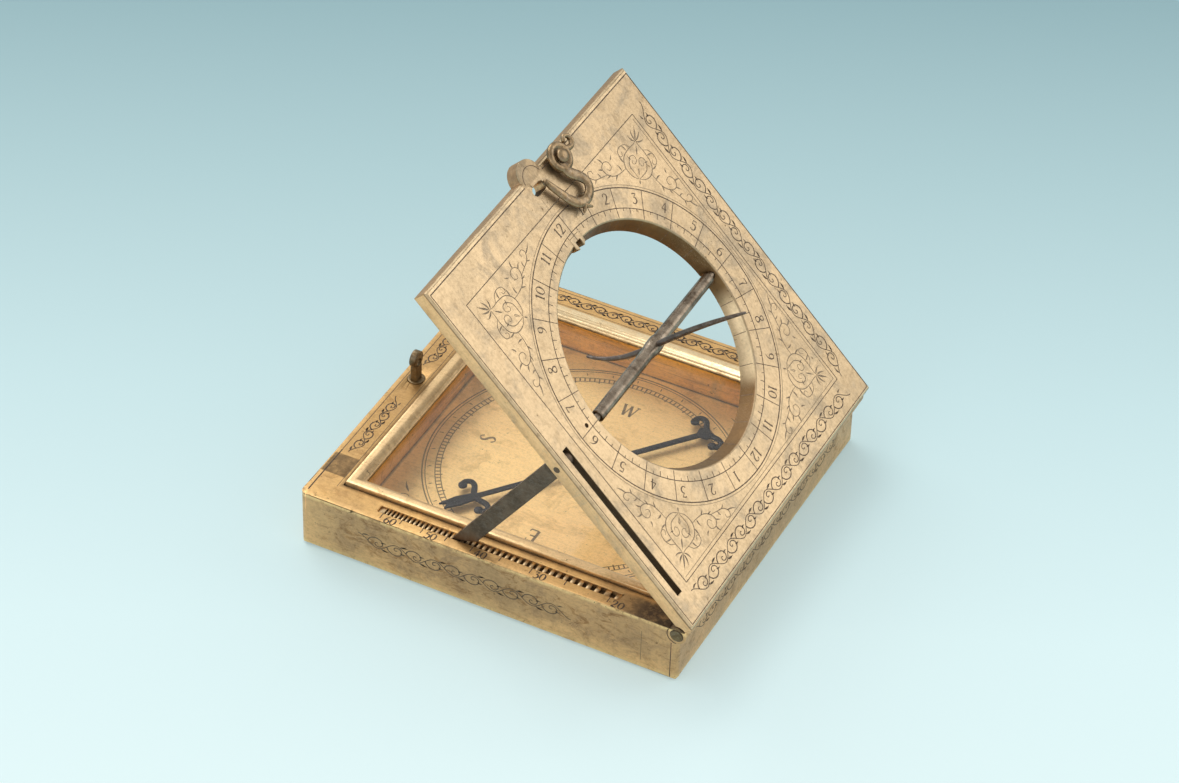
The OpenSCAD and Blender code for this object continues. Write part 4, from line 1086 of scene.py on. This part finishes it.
def makeGnomon():
    # the bar's radius swells to the boss by the fourth power of the distance, inside an exponential
    s = gnomonSizes
    reach, end, journal, cut = s["shoulder"], s["end"], s["journalR"], s["chamfer"]
    y = np.linspace(-reach + .12, reach - .12, 90)
    r = s["barR"] + (s["boss"] - s["barR"]) * np.exp(-(np.abs(y) / s["bossHalf"]) ** 4)
    r = r - s["taper"] * (np.abs(y) / reach) ** 2
    (out, inner), low = s["groove"], s["grooveR"]
    first = [(-end, .02), (-end, journal - cut), (cut - end, journal), (-out - .01, journal),
             (.01 - out, low), (-inner - .01, low), (.01 - inner, journal), (-reach, journal),
             (-reach, s["shoulderR"])]
    last = [(reach, s["shoulderR"]), (reach, journal), (end - cut, journal), (end, journal - cut), (end, .02)]
    profile = np.vstack([first, np.stack([y, r], 1), last])
    start = onPlate(plate["middle"], 0, plate["barC"])
    pts, faces = turned(profile * mm, start, (0, 1, 0), 40)
    # the boss is pressed a little flat where the wire goes through
    rel = (pts - start) / mm
    up = direction(0, 0, 1)
    near = np.exp(-(rel[:, 1] / s["flatHalf"]) ** 4)
    pts = pts - up * (rel @ up * near * s["flatBy"])[:, None] * mm
    putMesh("gnomon_bar_turned", pts, faces, "gnomon", barSteel, ("gnomon_bar",))
    down, off, radius = smoothLine(s["wire"], 8).T
    path = onPlate(plate["middle"] - down, 0, plate["barC"] + off)
    pts, faces = flatRod(path, (0, 1, 0), radius * mm, radius * mm)
    putMesh("gnomon_wire_drawn", pts, faces, "gnomon", barWire, ("gnomon_wire",))


# from the rivet: x runs down towards the hinge, y across, and the third number is the width
hookShape = dict(
    rivetA=58.35, rivetY=6.5, low=3.82, high=4.67, round=1.15,
    arm=[(1.1, -.75, 1.8), (2.6, -.35, 1.75), (4.1, .8, 1.65), (5.4, 1.2, 1.55), (6.45, .4, 1.5),
         (6.88, -1.1, 1.55), (6.45, -2.6, 1.6), (5.2, -3.7, 1.5), (3.6, -4.4, 1.35), (2.0, -5.0, 1.15),
         (.8, -5.38, .75)],
    thumb=[(-.6, 1.3, 1.3), (-.05, 2.2, 1.0), (.1, 3.15, .85), (-.45, 3.85, .78), (-1.3, 3.72, .72),
           (-1.62, 3.0, .66), (-1.2, 2.5, .6)],
    leaves=[[(6.5, -2.1, .9), (7.4, -1.85, .72), (8.2, -1.05, .34)],
            [(6.6, -1.6, .8), (7.5, -2.3, .6), (7.9, -3.0, .3)]],
    # profiles of height and radius: the disc round the rivet with its raised rim, and the domed rivet
    disc=[(-.42, 0.58), (-.42, 2.1), (-.3, 2.24), (0, 2.3), (.26, 2.2), (.4, 1.96), (.42, 1.66), (.32, 1.36),
          (.18, 1.2), (.15, .95), (.15, .6), (.1, .58)],
    rivet=[(1.0, .02), (1.0, .55), (4.7, .55), (4.72, .98), (4.76, 1.04), (4.86, 1.05), (5.0, 1.0),
           (5.14, .88), (5.24, .68), (5.3, .42), (5.32, .18), (5.32, .02)])


def makeHook():
    # rods with a flattened round section, joined to a turned disc
    s, up = hookShape, direction(0, 0, 1)
    midC, halfHigh = (s["low"] + s["high"]) / 2, (s["high"] - s["low"]) / 2

    def bend(points, steps, high=1.0):
        down, over, width = smoothLine(points, steps).T
        path = onPlate(s["rivetA"] - down, s["rivetY"] + over, midC)
        tall = np.minimum(halfHigh * high, width / 2 * s["round"])
        return flatRod(path, up, width / 2 * mm, tall * mm)

    disc = turned(np.array(s["disc"]) * mm, onPlate(s["rivetA"], s["rivetY"], midC), up, 48)[0]
    pts, faces = joined([bend(s["arm"], 7), bend(s["thumb"], 8), bend(s["leaves"][0], 6, .9),
                         bend(s["leaves"][1], 6, .8), (disc, gridFaces(len(s["disc"]), 48, looped=True))])
    putMesh("hook_cast", pts, faces, "hook", hookBrass, ("hook",), sharp=60)
    pts, faces = turned(np.array(s["rivet"]) * mm, onPlate(s["rivetA"], s["rivetY"], 0), up, 40)
    putMesh("hook_rivet_domed", pts, faces, "plate", hookBrass, ("hook_rivet",), sharp=60)


floorPaper = dict(
    radius=5.0, turn=26.2, near=-80.0, far=150.0, base=(0.58, 0.58, 0.58), glow=0.42,
    stops=[(0.0, (0.75, 0.90, 0.905)), (0.22, (0.69, 0.86, 0.875)), (0.44, (0.56, 0.74, 0.765)),
           (0.68, (0.41, 0.58, 0.61)), (0.9, (0.28, 0.43, 0.465)), (1.0, (0.26, 0.405, 0.44))])


def makeFloor():
    # a pale disc whose colour runs from near white in front to a soft teal behind
    s = floorPaper
    t = np.arange(64) * 2 * np.pi / 64
    pts = np.vstack([[0, 0, 0], np.stack([np.cos(t), np.sin(t), t * 0], 1) * s["radius"]])
    mesh = bpy.data.meshes.new("floor")
    mesh.from_pydata(pts.tolist(), [], [[0, 1 + i, 1 + (i + 1) % 64] for i in range(64)])
    m, tree = newMaterial("floor_paper")
    y = split(millimetres(tree, turn=(0, 0, math.radians(s["turn"]))))[1]
    share = field(tree, "ShaderNodeMapRange", {0: y, 1: s["near"], 2: s["far"]})
    ramp = put(tree, "ShaderNodeValToRGB", {0: share})
    while len(ramp.color_ramp.elements) < len(s["stops"]):
        ramp.color_ramp.elements.new(0.5)
    for e, (at, c) in zip(ramp.color_ramp.elements, s["stops"]):
        e.position, e.color = at, (*c, 1.0)
    # as seen, part of the colour glows, so that the shadows stay faint; to the lit object it is plain paper
    color, path = Field(ramp.outputs[0]), put(tree, "ShaderNodeLightPath").outputs
    seen = most(*(Field(path[f"Is {kind} Ray"]) for kind in ("Camera", "Glossy", "Transmission")))
    shader = field(tree, "ShaderNodeBsdfPrincipled", {
        "Base Color": blend(seen, color, blend(1.0, color, s["base"], "MULTIPLY")), "Roughness": 0.9,
        "Specular IOR Level": 0.1, "Emission Color": color, "Emission Strength": seen * s["glow"]})
    put(tree, "ShaderNodeOutputMaterial", {"Surface": shader})
    mesh.materials.append(m)
    obj = bpy.data.objects.new("floor", mesh)
    scene.collection.objects.link(obj)


lamps = [
    dict(name="window_left", toward=(-0.64, 0.30, 0.70), away=2.0, size=(1.4, 1.3), power=15.5,
         color=(1, 0.985, 0.96)),
    dict(name="card_back_right", toward=(0.62, 0.70, 0.36), away=2.0, size=(1.5, 1.1), power=6.0,
         color=(1, 0.97, 0.93)),
    dict(name="overhead", toward=(-0.34, -0.22, 0.93), away=1.6, size=(0.7, 0.5), power=1.8,
         color=(1, 0.98, 0.95)),
    dict(name="front_fill", toward=(-0.3, -0.9, 0.4), away=2.2, size=(1.6, 1.0), power=5.5,
         color=(0.98, 0.985, 1)),
]
sky = dict(light=(0.86, 0.88, 0.88), seen=(0.42, 0.58, 0.62), mirrored=(0.80, 0.80, 0.78), strength=0.88)


def placeLights():
    # each lamp hangs in the direction given, and faces the dial
    for s in lamps:
        light = bpy.data.lights.new(s["name"], "AREA")
        light.shape = "RECTANGLE"
        light.size, light.size_y = s["size"]
        light.energy, light.color = s["power"], s["color"]
        obj = bpy.data.objects.new(s["name"], light)
        toward = np.array(s["toward"]) / np.linalg.norm(s["toward"])
        side = np.cross([0, 0, 1], toward)
        side /= np.linalg.norm(side)
        obj.matrix_world = placed(side, np.cross(toward, side), toward, toward * s["away"])
        scene.collection.objects.link(obj)


def makeSky():
    world = bpy.data.worlds.new("studio")
    world.use_nodes = True
    tree = world.node_tree
    tree.nodes.clear()
    path = put(tree, "ShaderNodeLightPath").outputs
    seen = most(Field(path["Is Camera Ray"]), Field(path["Is Transmission Ray"]))
    color = blend(Field(path["Is Glossy Ray"]), blend(seen, sky["light"], sky["seen"]), sky["mirrored"])
    shader = field(tree, "ShaderNodeBackground", {"Color": color, "Strength": sky["strength"]})
    put(tree, "ShaderNodeOutputWorld", {"Surface": shader})
    scene.world = world


dressNodes()
finishKeptNodes()
makeBezel()
makeGnomon()
makeHook()
print("pieces made")
plateEngraving()
caseEngraving()
cardEngraving()
print("engraving cut")
makeFloor()
placeLights()
makeSky()
print("stage set")
